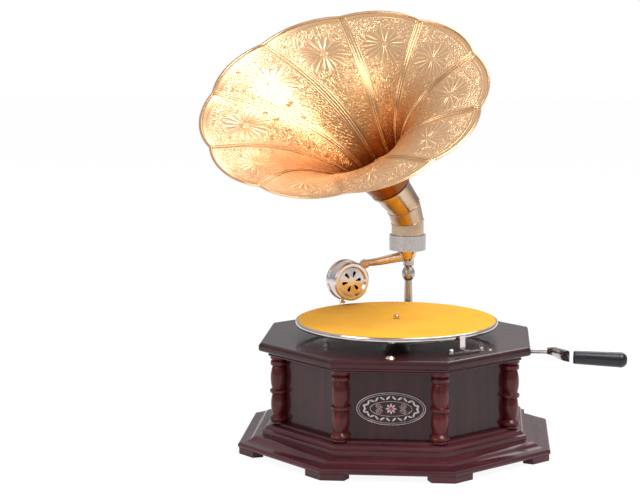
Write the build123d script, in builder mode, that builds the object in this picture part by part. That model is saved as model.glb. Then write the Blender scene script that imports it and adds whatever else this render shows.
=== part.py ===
from build123d import *
import os
from math import atan2, cos, degrees, hypot, pi, radians, sin, sqrt

# Horn gramophone, millimetres, +Z up, front towards -Y.
# The origin is the centre of the octagonal base, on the plane its feet stand on.

# Case
SIDES = 8
HALF_TURN = 180 / SIDES
FOOT_H = 7.5
PLINTH_A = 193.0
PLINTH_TOP = 36.5
CASE_A = 140.0
WALL_T = 9.0
CORNICE_A = 156.0
CORNICE_Z = 121.5
BOARD_A = 167.0
BOARD_T = 11.0
BOARD_TOP = 138.5
BOARD_Z = BOARD_TOP - BOARD_T
COLUMN_R = 154.5
BOLT_R = 6.2
BOLT_CIRCLE = 148.0
EMBLEM_W = 84.0
EMBLEM_H = 41.0
EMBLEM_Z = 75.5

# Turntable
SPINDLE = (0.0, -8.0)
PLATTER_R = 127.0
FELT_R = 124.5
FELT_TOP = 160.3
FELT_T = 1.6
SPINDLE_R = 3.6
SPINDLE_FREE = 5.2

# Motor
PLATE_T = 2.5
PLATE_Z = 123.0
LOWER_Z = 56.0
ARBOR = (58.0, 38.0)
ARBOR_R = 4.0
BARREL_R = 38.0
BARREL_Z = 71.0
BARREL_H = 26.0
GREAT_TEETH, GREAT_M = 48, 1.6
SECOND_PINION_TEETH = 10
SECOND_TEETH, SECOND_M = 40, 1.2
SPINDLE_TEETH = 10
CROWN_TEETH, CROWN_R = 36, 22.5
BEVEL_TEETH, BEVEL_R = 12, 7.5
WORM_TEETH, WORM_R = 36, 18.0
GOVERNOR_X = -23.4
GOVERNOR_Z = 88.0
RUN = 0.06

# Crank
CRANK_Y = 38.0
CRANK_Z = 112.8
CRANK_R = 3.9
GRIP_Y = -24.0
GRIP_Z = 118.0

# Horn stand, tone arm and sound box
RING = (8.0, 113.0)
RING_Z = 231.0
RING_H = 20.0
RING_R = 24.25
POST = (8.0, 142.5)
ARM_END = (-46.0, 118.5, 211.5)
BOX_C = (-69.0, 88.0, 192.5)
BOX_R = 25.5
BOX_TURN = 31.0
BOX_ROLL = 20.0

# Horn
PETALS = 10
MOUTH_C = Vector(-68.7, 6.0, 435.0)
MOUTH_AZ, MOUTH_EL, MOUTH_PHASE = -11.8, 53.8, 141.0
THROAT_C = Vector(-14.6, 86.0, 317.0)
THROAT_AZ, THROAT_EL = -40.0, 52.0
HORN_T = 1.1
# Each ring of the bell: seam radius, depth below the mouth, petal bulge as a share of the radius
BELL = [
    (178.0, 0.0, 0.035),
    (160.0, 6.0, 0.030),
    (134.0, 15.0, 0.026),
    (107.0, 29.0, 0.022),
    (81.0, 49.0, 0.018),
    (57.0, 76.0, 0.014),
    (38.0, 108.0, 0.010),
    (25.5, 150.0, 0.006),
]

PARTS = "parts"
os.makedirs(PARTS, exist_ok=True)


def save(node, name):
    """Label a finished part and write it as its own file."""
    node.label = name
    export_step(node, os.path.join(PARTS, name + ".step"))


def octagon(apothem):
    """An octagon with a flat side square to each axis."""
    return RegularPolygon(apothem, SIDES, major_radius=False, rotation=HALF_TURN)


def heading(azimuth, elevation):
    """Unit vector: azimuth turns from -Y towards +X, elevation rises from level."""
    level = cos(radians(elevation))
    return Vector(
        sin(radians(azimuth)) * level,
        -cos(radians(azimuth)) * level,
        sin(radians(elevation)),
    )


def mitre():
    """Trim a length of moulding on the +X side at the two corner planes."""
    for side in (1, -1):
        normal = (-sin(radians(HALF_TURN)), side * cos(radians(HALF_TURN)), 0)
        split(bisect_by=Plane(origin=(0, 0, 0), z_dir=normal), keep=Keep.BOTTOM)


def eight(length):
    """Eight mitred lengths as separate solids in one part."""
    around = [Rot(0, 0, 45 * i) * length for i in range(SIDES)]
    return Compound(children=around)


def tooth_outline(teeth, module, backlash=0.06):
    """Spur gear outline: four points a tooth, with straight flanks."""
    pitch_r = teeth * module / 2
    tip = pitch_r + 0.9 * module
    root = pitch_r - 1.1 * module
    quarter = pi / (2 * teeth)
    slack = backlash / pitch_r
    points = []
    for i in range(teeth):
        mid = 2 * pi * i / teeth
        for radius, angle in (
            (root, mid - 1.45 * quarter),
            (tip, mid - 0.5 * quarter + slack),
            (tip, mid + 0.5 * quarter - slack),
            (root, mid + 1.45 * quarter),
        ):
            points.append((radius * cos(angle), radius * sin(angle)))
    return points


def spur_gear(at, z, height, teeth, module, bore, phase=0.0, holes=0):
    """A toothed wheel standing on Z, with round lightening holes if asked for."""
    with BuildPart() as wheel:
        with BuildSketch(Plane(origin=(at[0], at[1], z))):
            with Locations(Rot(0, 0, phase)):
                Polygon(*tooth_outline(teeth, module), align=None)
            Circle(bore, mode=Mode.SUBTRACT)
            if holes:
                with PolarLocations(teeth * module * 0.29, holes):
                    Circle(teeth * module * 0.10, mode=Mode.SUBTRACT)
        extrude(amount=height)
    return wheel.part


def mesh_phase(driver_teeth, driver_phase, driver_at, follower_teeth, follower_at):
    """Turn of the follower that puts a gap where the driver has a tooth."""
    line = degrees(atan2(follower_at[1] - driver_at[1], follower_at[0] - driver_at[0]))
    into = (line - driver_phase) * driver_teeth / 360
    offset = into - round(into)
    pitch = 360 / follower_teeth
    return line + 180 + (0.5 + offset) * pitch


# Case: bottom board, plinth, walls, columns, cornice and top board

with BuildPart() as bottom_board:
    with BuildSketch(Plane.XY.offset(FOOT_H)):
        octagon(174)
    extrude(amount=5.5)
save(bottom_board.part, "bottom_board")

with BuildPart() as plinth_length:
    with BuildSketch(Plane.XZ):
        with BuildLine():
            Polyline((174, FOOT_H), (190.5, FOOT_H))
            RadiusArc((190.5, FOOT_H), (190.5, 14), -3.6)
            Polyline((190.5, 14), (184.5, 14.6))
            RadiusArc((184.5, 14.6), (176, 18.4), 14)
            RadiusArc((176, 18.4), (165.5, 21.4), -14)
            Polyline((165.5, 21.4), (163, 22.4), (163, 28.4), (159.5, 29.4))
            RadiusArc((159.5, 29.4), (153.5, 34.2), -7)
            Polyline((153.5, 34.2), (148.5, 34.6), (147.5, PLINTH_TOP), (128, PLINTH_TOP))
            Polyline((128, PLINTH_TOP), (128, 13), (174, 13), (174, FOOT_H))
        make_face()
    extrude(amount=90, both=True)
    mitre()
save(eight(plinth_length.part), "plinth_moulding")

FOOT_REACH = 26.0
CORNER = 191 / cos(radians(HALF_TURN))
with BuildPart() as corner_foot:
    with BuildSketch(Plane.XY):
        octagon(191)
        with Locations(Rot(0, 0, HALF_TURN)):
            Rectangle(2 * CORNER, 2 * FOOT_REACH, mode=Mode.INTERSECT)
            Rectangle(2 * (CORNER - 24), 4 * FOOT_REACH, mode=Mode.SUBTRACT)
    extrude(amount=FOOT_H)
    split(bisect_by=Plane(origin=(0, 0, 0), z_dir=heading(90 + HALF_TURN, 0)), keep=Keep.TOP)
save(eight(corner_foot.part), "corner_feet")

with BuildPart() as wall_panel:
    with BuildSketch(Plane.XZ):
        with Locations((CASE_A - WALL_T / 2, (PLINTH_TOP + BOARD_Z) / 2)):
            Rectangle(WALL_T, BOARD_Z - PLINTH_TOP)
    extrude(amount=70, both=True)
    mitre()
with BuildPart() as crank_panel:
    add(wall_panel.part)
    with Locations(Plane(origin=(CASE_A, CRANK_Y, CRANK_Z), z_dir=(1, 0, 0))):
        Hole(radius=6.0, depth=2 * WALL_T)
walls = [Rot(0, 0, 45 * i) * wall_panel.part for i in range(1, SIDES)]
save(Compound(children=[crank_panel.part] + walls), "case_panels")

# One turned column: the profile runs from its foot to its head, out from its own axis
COLUMN_Z0 = PLINTH_TOP
COLUMN_Z1 = CORNICE_Z
with BuildPart() as corner_column:
    with BuildSketch(Plane.XZ):
        with BuildLine():
            Polyline((0, COLUMN_Z0), (10.5, COLUMN_Z0), (10.5, 38.5))
            RadiusArc((10.5, 38.5), (10.5, 44.5), -3.4)
            Polyline((10.5, 44.5), (8.6, 46.5))
            RadiusArc((8.6, 46.5), (8.8, 73.0), -48)
            Polyline((8.8, 73.0), (11.6, 75.0), (11.6, 78.0), (9.0, 80.0))
            RadiusArc((9.0, 80.0), (8.4, 108.0), -46)
            Polyline((8.4, 108.0), (10.8, 110.0), (10.8, 114.0), (9.2, 115.5))
            Polyline((9.2, 115.5), (11.2, 118.0), (11.2, COLUMN_Z1), (0, COLUMN_Z1))
            Line((0, COLUMN_Z1), (0, COLUMN_Z0))
        make_face()
    revolve(axis=Axis.Z)
with BuildPart() as seated_column:
    add(Pos(COLUMN_R, 0, 0) * corner_column.part)
    with BuildSketch(Plane.XY.offset(COLUMN_Z0)):
        with Locations(Rot(0, 0, HALF_TURN)):
            octagon(CASE_A)
    extrude(amount=COLUMN_Z1 - COLUMN_Z0, mode=Mode.SUBTRACT)
columns = [Rot(0, 0, HALF_TURN + 45 * i) * seated_column.part for i in range(SIDES)]
save(Compound(children=columns), "corner_columns")

with BuildPart() as cornice_length:
    with BuildSketch(Plane.XZ):
        with BuildLine():
            Polyline((CASE_A, CORNICE_Z), (CORNICE_A - 1, CORNICE_Z))
            RadiusArc((CORNICE_A - 1, CORNICE_Z), (CORNICE_A - 1, CORNICE_Z + 2.4), -1.3)
            Polyline((CORNICE_A - 1, CORNICE_Z + 2.4), (CORNICE_A, BOARD_Z))
            Polyline((CORNICE_A, BOARD_Z), (CASE_A, BOARD_Z), (CASE_A, CORNICE_Z))
        make_face()
    extrude(amount=70, both=True)
    mitre()
save(eight(cornice_length.part), "cornice_moulding")

REGULATOR = (-81.0, -88.0)
HANGERS = [(-46.0, 44.0), (98.0, -4.0), (-20.0, -84.0)]
with BuildPart() as top_board:
    with BuildSketch(Plane.XY.offset(BOARD_Z)):
        octagon(BOARD_A)
    extrude(amount=BOARD_T)
    fillet(top_board.faces().sort_by(Axis.Z)[-1].edges(), 4.6)
    fillet(top_board.faces().sort_by(Axis.Z)[0].edges(), 3.6)
    with Locations((SPINDLE[0], SPINDLE[1], BOARD_TOP)):
        Hole(radius=9.0, depth=BOARD_T)
    with Locations((REGULATOR[0], REGULATOR[1], BOARD_TOP)):
        Hole(radius=2.0 + RUN, depth=BOARD_T)
save(top_board.part, "top_board")

with BuildPart() as board_bolts:
    with BuildSketch(Plane.XZ):
        with BuildLine():
            Line((0, BOARD_TOP), (BOLT_R, BOARD_TOP))
            RadiusArc((BOLT_R, BOARD_TOP), (1.0, BOARD_TOP + 3.0), -6.6)
            Polyline((1.0, BOARD_TOP + 3.0), (0, BOARD_TOP + 3.0), (0, BOARD_TOP))
        make_face()
    revolve(axis=Axis.Z)
bolts = [Rot(0, 0, a) * Pos(BOLT_CIRCLE, 0, 0) * board_bolts.part for a in (-90, 45, 135)]
save(Compound(children=bolts), "board_bolts")

with BuildPart() as front_emblem:
    with BuildSketch(Plane(origin=(1.0, -CASE_A, EMBLEM_Z), x_dir=(1, 0, 0), z_dir=(0, -1, 0))):
        Ellipse(EMBLEM_W / 2, EMBLEM_H / 2)
    extrude(amount=0.8)
save(front_emblem.part, "front_emblem")

with BuildPart() as crank_escutcheon:
    with BuildSketch(Plane.XZ.offset(-CRANK_Y)):
        with BuildLine():
            Polyline((131.5, CRANK_Z + 4.3), (131.5, CRANK_Z + 5.9), (140, CRANK_Z + 5.9))
            Line((140, CRANK_Z + 5.9), (140, CRANK_Z + 8.2))
            RadiusArc((140, CRANK_Z + 8.2), (142.4, CRANK_Z + 5.6), 2.8)
            Polyline((142.4, CRANK_Z + 5.6), (142.4, CRANK_Z + 4.3), (131.5, CRANK_Z + 4.3))
        make_face()
    revolve(axis=Axis((0, CRANK_Y, CRANK_Z), (1, 0, 0)))
save(crank_escutcheon.part, "crank_escutcheon")

# Turntable: a dished plate with a turned-down rim, its mat and its spindle

with BuildPart() as platter:
    with BuildSketch(Plane.XZ.offset(-SPINDLE[1])):
        with BuildLine():
            Polyline((SPINDLE_R + 0.6, 147.0), (14, 147.0), (17, 155.6), (121.5, 155.6))
            RadiusArc((121.5, 155.6), (123.8, 153.4), 2.3)
            Polyline((123.8, 153.4), (PLATTER_R - 0.6, 153.4))
            RadiusArc((PLATTER_R - 0.6, 153.4), (PLATTER_R - 0.6, 159.2), -6)
            Polyline((PLATTER_R - 0.6, 159.2), (FELT_R + 0.2, 159.6), (FELT_R + 0.2, 158.7))
            Polyline((FELT_R + 0.2, 158.7), (SPINDLE_R + 0.6, 158.7), (SPINDLE_R + 0.6, 147.0))
        make_face()
    revolve(axis=Axis((SPINDLE[0], SPINDLE[1], 0), (0, 0, 1)))
save(platter.part, "platter")

with BuildPart() as felt_mat:
    with BuildSketch(Plane(origin=(*SPINDLE, FELT_TOP - FELT_T))):
        Circle(FELT_R)
        Circle(SPINDLE_R + 0.8, mode=Mode.SUBTRACT)
    extrude(amount=FELT_T)
save(felt_mat.part, "felt_mat")

# Motor frame: two plates, pillars, hangers and bearings

MOTOR_OUTLINE = [
    (-52, -50), (-72, -80), (-54, -98), (-14, -94), (8, -62), (40, -46), (108, -18),
    (112, 40), (106, 68), (92, 80), (4, 90), (-30, 62), (-60, 50),
]
LOWER_OUTLINE = [(-10, -20), (8, -44), (28, -44), (108, -16), (110, 66), (96, 78), (20, 90), (0, 82), (-12, 8)]
PILLARS = [(18, -34), (100, -6), (98, 66), (12, 78)]
PIVOT = (-60.0, -82.0)
BRIDGE_Z = 74.0
BRIDGE_H = 4.0
SPINDLE_BOSS_R = 7.0

SECOND_R1 = (GREAT_TEETH + SECOND_PINION_TEETH) * GREAT_M / 2
SECOND_R2 = (SECOND_TEETH + SPINDLE_TEETH) * SECOND_M / 2


def second_axis():
    """Place of the second arbor: its distances to the barrel and to the spindle are set by the gears."""
    dx = ARBOR[0] - SPINDLE[0]
    dy = ARBOR[1] - SPINDLE[1]
    base = hypot(dx, dy)
    along = (SECOND_R2 ** 2 - SECOND_R1 ** 2 + base ** 2) / (2 * base)
    off = -sqrt(max(SECOND_R2 ** 2 - along ** 2, 0))
    return (
        SPINDLE[0] + along * dx / base - off * dy / base,
        SPINDLE[1] + along * dy / base + off * dx / base,
    )


SECOND = second_axis()

with BuildPart() as motor_bottom_plate:
    with BuildSketch(Plane.XY.offset(LOWER_Z)) as lower_shape:
        Polygon(*LOWER_OUTLINE, align=None)
        fillet(lower_shape.vertices(), 6)
        with Locations(SPINDLE):
            Circle(2.4 + RUN, mode=Mode.SUBTRACT)
        with Locations(SECOND):
            Circle(2.0 + RUN, mode=Mode.SUBTRACT)
        with Locations(ARBOR):
            Circle(ARBOR_R + RUN, mode=Mode.SUBTRACT)
    extrude(amount=PLATE_T)
save(motor_bottom_plate.part, "motor_bottom_plate")

# The top plate carries the spindle's long bearing, the second arbor's bridge and the regulator's pivot
with BuildPart() as motor_top_plate:
    with BuildSketch(Plane.XY.offset(PLATE_Z)) as plate_shape:
        Polygon(*MOTOR_OUTLINE, align=None)
        fillet(plate_shape.vertices(), 8)
    extrude(amount=PLATE_T)
    with BuildSketch(Plane(origin=(*SPINDLE, PLATE_Z - 6.0))):
        Circle(SPINDLE_BOSS_R)
    extrude(amount=20.0)
    with BuildSketch(Plane(origin=(*SECOND, BRIDGE_Z + BRIDGE_H))):
        Circle(3.0)
    extrude(amount=PLATE_Z - BRIDGE_Z - BRIDGE_H)
    with BuildSketch(Plane(origin=(*SECOND, BRIDGE_Z))):
        Circle(5.0)
    extrude(amount=BRIDGE_H + 2.0)
    with BuildSketch(Plane(origin=(*PIVOT, GOVERNOR_Z - 4.0))):
        Circle(2.0)
    extrude(amount=PLATE_Z - GOVERNOR_Z + 4.0)
    with BuildSketch(Plane(origin=(*SPINDLE, PLATE_Z - 6.0))):
        Circle(4.2 + RUN)
    extrude(amount=20.0, mode=Mode.SUBTRACT)
    with BuildSketch(Plane(origin=(*SECOND, BRIDGE_Z))):
        Circle(2.0 + RUN)
    extrude(amount=BRIDGE_H, mode=Mode.SUBTRACT)
    with BuildSketch(Plane(origin=(*ARBOR, PLATE_Z))):
        Circle(ARBOR_R + RUN)
    extrude(amount=PLATE_T, mode=Mode.SUBTRACT)
save(motor_top_plate.part, "motor_top_plate")

with BuildPart() as plate_pillars:
    with BuildSketch(Plane.XY.offset(LOWER_Z + PLATE_T)):
        with Locations(*PILLARS):
            Circle(3.6)
    extrude(amount=PLATE_Z - LOWER_Z - PLATE_T)
save(plate_pillars.part, "plate_pillars")

with BuildPart() as rubber_hangers:
    with BuildSketch(Plane.XY.offset(PLATE_Z + PLATE_T)):
        with Locations(*HANGERS):
            Circle(6.0)
    extrude(amount=BOARD_Z - PLATE_Z - PLATE_T)
save(rubber_hangers.part, "rubber_hangers")

# Spring barrel and the gears it drives

great_wheel = spur_gear(ARBOR, BARREL_Z - 4.0, 4.0, GREAT_TEETH, GREAT_M, ARBOR_R + RUN)
with BuildPart() as spring_barrel:
    add(great_wheel)
    with BuildSketch(Plane(origin=(*ARBOR, BARREL_Z))):
        Circle(BARREL_R)
        Circle(ARBOR_R + RUN, mode=Mode.SUBTRACT)
    extrude(amount=BARREL_H)
    with BuildSketch(Plane(origin=(*ARBOR, BARREL_Z + 1.6))):
        Circle(BARREL_R - 1.6)
        Circle(ARBOR_R + RUN, mode=Mode.SUBTRACT)
    extrude(amount=BARREL_H, mode=Mode.SUBTRACT)
save(spring_barrel.part, "spring_barrel")

with BuildPart() as barrel_cover:
    with BuildSketch(Plane(origin=(*ARBOR, BARREL_Z + BARREL_H - 1.6))):
        Circle(BARREL_R - 1.6)
        Circle(ARBOR_R + RUN, mode=Mode.SUBTRACT)
    extrude(amount=1.6)
save(barrel_cover.part, "barrel_cover")

# The mainspring is a flat strip wound in an even spiral between the arbor's hook and the barrel's wall
SPRING_TURNS = 6
SPRING_STEP = 12
SPRING_IN, SPRING_OUT, SPRING_T = 8.0, BARREL_R - 2.6, 0.5


def spiral(offset):
    """Points of the spring's inner or outer face, a fixed step apart in angle."""
    count = SPRING_TURNS * SPRING_STEP
    points = []
    for i in range(count + 1):
        radius = SPRING_IN + (SPRING_OUT - SPRING_IN) * i / count + offset
        angle = 2 * pi * i / SPRING_STEP
        points.append((radius * cos(angle), radius * sin(angle)))
    return points


with BuildPart() as mainspring:
    with BuildSketch(Plane(origin=(*ARBOR, BARREL_Z + 3.0))):
        Polygon(*(spiral(0) + spiral(SPRING_T)[::-1]), align=None)
    extrude(amount=BARREL_H - 6.4)
save(mainspring.part, "mainspring")

with BuildPart() as barrel_arbor:
    with BuildSketch(Plane(origin=(*ARBOR, LOWER_Z - 3.0))):
        Circle(ARBOR_R)
    extrude(amount=PLATE_Z + PLATE_T - LOWER_Z + 3.0)
save(barrel_arbor.part, "barrel_arbor")

# The crown wheel's teeth stand up and take the bevel pinion of the winding shaft
CROWN_Z = CRANK_Z - BEVEL_R
with BuildPart() as crown_wheel:
    with BuildSketch(Plane(origin=(*ARBOR, CROWN_Z - 4.2))):
        Circle(CROWN_R + 2.6)
        Circle(ARBOR_R, mode=Mode.SUBTRACT)
    extrude(amount=2.8)
    with BuildSketch(Plane(origin=(*ARBOR, CROWN_Z - 1.4))):
        with PolarLocations(CROWN_R, CROWN_TEETH):
            Trapezoid(2.0, 5.2, 90, rotation=-90)
    extrude(amount=2.5, taper=8)
save(crown_wheel.part, "crown_wheel")

WHEEL_Z = LOWER_Z + PLATE_T + 2.6
SECOND_PHASE = mesh_phase(GREAT_TEETH, 0, ARBOR, SECOND_PINION_TEETH, SECOND)
second_pinion = spur_gear(SECOND, BARREL_Z - 5, 4.6, SECOND_PINION_TEETH, GREAT_M, 2.0, SECOND_PHASE)
with BuildPart() as second_arbor:
    add(second_pinion)
    with BuildSketch(Plane(origin=(*SECOND, LOWER_Z - 1.0))):
        Circle(2.0)
    extrude(amount=BRIDGE_Z + BRIDGE_H - 0.3 - LOWER_Z + 1.0)
save(second_arbor.part, "second_arbor")
second_wheel = spur_gear(SECOND, WHEEL_Z, 2.2, SECOND_TEETH, SECOND_M, 2.0, SECOND_PHASE, holes=5)
save(second_wheel, "second_wheel")
SPINDLE_PHASE = mesh_phase(SECOND_TEETH, SECOND_PHASE, SECOND, SPINDLE_TEETH, SPINDLE)
spindle_pinion = spur_gear(SPINDLE, WHEEL_Z - 1.2, 4.6, SPINDLE_TEETH, SECOND_M, 4.2, SPINDLE_PHASE)
worm_wheel = spur_gear(SPINDLE, GOVERNOR_Z - 3.5, 7.0, WORM_TEETH, 1.0, 4.2)
save(worm_wheel, "worm_wheel")

SPINDLE_TIP = FELT_TOP + SPINDLE_FREE
with BuildPart() as spindle:
    add(spindle_pinion)
    with BuildSketch(Plane.XZ.offset(-SPINDLE[1])):
        with BuildLine():
            Polyline((0, 50.0), (2.4, 52.0), (2.4, LOWER_Z + PLATE_T + 1), (4.2, LOWER_Z + PLATE_T + 1))
            Polyline((4.2, LOWER_Z + PLATE_T + 1), (4.2, 143.0), (SPINDLE_R + 0.6, 147.0))
            Polyline((SPINDLE_R + 0.6, 147.0), (SPINDLE_R + 0.6, FELT_TOP), (SPINDLE_R, FELT_TOP))
            Line((SPINDLE_R, FELT_TOP), (SPINDLE_R, SPINDLE_TIP - 1.2))
            Polyline((SPINDLE_R, SPINDLE_TIP - 1.2), (2.6, SPINDLE_TIP), (0, SPINDLE_TIP), (0, 50.0))
        make_face()
    revolve(axis=Axis((SPINDLE[0], SPINDLE[1], 0), (0, 0, 1)))
save(spindle.part, "spindle")

# Governor: a worm shaft along Y with three weights on leaf springs and a brake disc

GOVERNOR_AXIS = Axis((GOVERNOR_X, 0, GOVERNOR_Z), (0, 1, 0))
GOV_BACK, GOV_FRONT = 10.0, -78.0
COLLAR_BACK, COLLAR_FRONT = -26.0, -62.0
DISC_Y = -68.0


def round_y(radius, y, length, bore=0.0):
    """A round piece lying along Y on the governor's axis."""
    plane = Plane(origin=(GOVERNOR_X, y, GOVERNOR_Z), z_dir=(0, 1, 0))
    with BuildPart() as piece:
        with BuildSketch(plane):
            Circle(radius)
            if bore:
                Circle(bore, mode=Mode.SUBTRACT)
        extrude(amount=length)
    return piece.part


WORM_PITCH = pi
with BuildPart() as governor_shaft:
    add(round_y(1.6, GOV_FRONT, GOV_BACK - GOV_FRONT))
    for i in range(5):
        add(round_y(4.4, SPINDLE[1] - 7.2 + WORM_PITCH * i, 1.2))
    add(round_y(3.6, SPINDLE[1] - 9.0, 18.0))
    add(round_y(4.5, COLLAR_BACK, 5.0))
    add(round_y(4.5, COLLAR_FRONT, 5.0))
save(governor_shaft.part, "governor_shaft")
governor_disc = round_y(15.0, DISC_Y, 1.8, 1.6)
save(governor_disc, "governor_disc")

SPRING_MID = (COLLAR_BACK + COLLAR_FRONT + 5.0) / 2
WEIGHT_OUT = 11.0


def bowed_leaf():
    """One leaf spring, screwed to both collars and bowed out under its weight."""
    with BuildPart() as leaf:
        with BuildSketch(Plane.YZ.offset(-2.0)):
            with BuildLine():
                inner_a = (COLLAR_FRONT, 4.5)
                inner_b = (COLLAR_BACK + 5.0, 4.5)
                Line(inner_b, (COLLAR_BACK + 5.0, 5.0))
                ThreePointArc((COLLAR_BACK + 5.0, 5.0), (SPRING_MID, 7.5), (COLLAR_FRONT, 5.0))
                Line((COLLAR_FRONT, 5.0), inner_a)
                ThreePointArc(inner_a, (SPRING_MID, 7.0), inner_b)
            make_face()
        extrude(amount=4.0)
    return leaf.part


def ball_weight():
    """A lead weight riveted to the middle of a leaf spring."""
    with BuildPart() as weight:
        with Locations((0, SPRING_MID, WEIGHT_OUT)):
            Cylinder(4.2, 7.0)
        chamfer(weight.edges().filter_by(GeomType.CIRCLE), 1.0)
    return weight.part


at_governor = Pos(GOVERNOR_X, 0, GOVERNOR_Z)
leaves = [at_governor * Rot(0, 120 * i, 0) * bowed_leaf() for i in range(3)]
weights = [at_governor * Rot(0, 120 * i, 0) * ball_weight() for i in range(3)]
save(Compound(children=leaves), "governor_springs")
save(Compound(children=weights), "governor_weights")

with BuildPart() as governor_bearings:
    with BuildSketch(Plane.XY.offset(PLATE_Z)):
        with Locations((GOVERNOR_X, GOV_BACK - 1.0), (GOVERNOR_X, GOV_FRONT + 1.0)):
            Rectangle(10, 4)
    extrude(amount=-(PLATE_Z - GOVERNOR_Z + 4))
    with BuildSketch(Plane(origin=(GOVERNOR_X, 20, GOVERNOR_Z), z_dir=(0, -1, 0))):
        Circle(1.6 + RUN)
    extrude(amount=110, mode=Mode.SUBTRACT)
save(governor_bearings.part, "governor_bearings")

# Speed regulator: a screw through the board tips a lever whose pad drags on the governor's disc

with BuildPart() as regulator_screw:
    with BuildSketch(Plane(origin=(*REGULATOR, BOARD_TOP + 0.6))):
        Circle(3.4)
    extrude(amount=5.4)
    chamfer(regulator_screw.edges().sort_by(Axis.Z)[-1], 0.8)
    with BuildSketch(Plane(origin=(*REGULATOR, GOVERNOR_Z + 6.0))):
        Circle(2.0)
    extrude(amount=BOARD_TOP + 0.6 - GOVERNOR_Z - 6.0)
save(regulator_screw.part, "regulator_screw")

LEVER_TIP = (GOVERNOR_X - 13.0, DISC_Y - 4.2)
with BuildPart() as regulator_lever:
    with BuildSketch(Plane.XY.offset(GOVERNOR_Z - 1.5)):
        with BuildLine() as lever_line:
            Polyline((REGULATOR[0] + 5.5, REGULATOR[1] + 0.5), PIVOT, LEVER_TIP)
        trace(line_width=6.0)
        with Locations(PIVOT):
            Circle(4.5)
            Circle(2.0 + RUN, mode=Mode.SUBTRACT)
    extrude(amount=3.0)
save(regulator_lever.part, "regulator_lever")

# Winding shaft: bevel pinion, ratchet and bearing

WIND_AXIS = Axis((0, CRANK_Y, CRANK_Z), (1, 0, 0))
PINION_X = ARBOR[0] + CROWN_R
RATCHET_X = 91.0
RATCHET_TEETH = 12
RATCHET_R, RATCHET_DEEP = 8.4, 1.8
PAWL_PIN = (15.5, 5.0)
BEARING_X = 98.0
SOCKET_X = 112.0


def along_x(x):
    """Plane square to the winding shaft at x, with its own up along +Z."""
    return Plane(origin=(x, CRANK_Y, CRANK_Z), x_dir=(0, 1, 0), z_dir=(1, 0, 0))


def ratchet_outline(teeth, outer, depth):
    """Saw teeth: a long back and a radial face."""
    points = []
    for i in range(teeth):
        face = 2 * pi * i / teeth
        points.append((outer * cos(face), outer * sin(face)))
        points.append(((outer - depth) * cos(face), (outer - depth) * sin(face)))
    return points


with BuildPart() as bevel_pinion:
    with BuildSketch(along_x(PINION_X - 2.4)):
        with Locations(Rot(0, 0, 90 + 180 / BEVEL_TEETH)):
            Polygon(*tooth_outline(BEVEL_TEETH, 1.15, 0.12), align=None)
    extrude(amount=4.8)

with BuildPart() as ratchet_wheel:
    with BuildSketch(along_x(RATCHET_X)):
        Polygon(*ratchet_outline(RATCHET_TEETH, RATCHET_R, RATCHET_DEEP), align=None)
    extrude(amount=3.0)

with BuildPart() as winding_shaft:
    add(bevel_pinion.part)
    add(ratchet_wheel.part)
    with BuildSketch(along_x(PINION_X - 5.0)):
        Circle(3.0)
    extrude(amount=SOCKET_X - PINION_X + 5.0)
    with BuildSketch(along_x(SOCKET_X - 6.0)):
        Circle(6.0)
        Circle(3.0, mode=Mode.SUBTRACT)
    extrude(amount=6.0)
save(winding_shaft.part, "winding_shaft")

with BuildPart() as crank_bearing:
    with BuildSketch(Plane.XY.offset(PLATE_Z)):
        with Locations((BEARING_X + 2.0, CRANK_Y)):
            Rectangle(4.0, 18.0)
        with Locations((BEARING_X + 2.0, CRANK_Y + 14.0)):
            Rectangle(4.0, 12.0)
    extrude(amount=-(PLATE_Z - CRANK_Z + 7.0))
    with BuildSketch(along_x(BEARING_X - 2)):
        Circle(3.0 + RUN)
    extrude(amount=8, mode=Mode.SUBTRACT)
    with BuildSketch(along_x(RATCHET_X - 0.6)):
        with Locations(PAWL_PIN):
            Circle(1.5)
    extrude(amount=BEARING_X - RATCHET_X + 0.6)
save(crank_bearing.part, "crank_bearing")

# The pawl is lifted: its tip stands a hair outside the tooth tips, so the crank turns both ways
PAWL_TIP = [(8.0, -3.9), (14.0, 6.0), (17.0, 3.0), (9.3, -4.9)]
with BuildPart() as ratchet_pawl:
    with BuildSketch(along_x(RATCHET_X)):
        Polygon(*PAWL_TIP, align=None)
        with Locations(PAWL_PIN):
            Circle(3.0)
            Circle(1.5 + RUN, mode=Mode.SUBTRACT)
    extrude(amount=3.0)
save(ratchet_pawl.part, "ratchet_pawl")

# Crank: a round shaft that screws into the winding shaft, a flat cast arm and a turned grip

CRANK_BEND_X = 190.0
GRIP_START = 5.5
GRIP_LEN = 66.0
PIN_R = 3.2
GRIP_PLANE = Plane(origin=(CRANK_BEND_X + 25.0, GRIP_Y, GRIP_Z), z_dir=(1, 0, -0.04))

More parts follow.
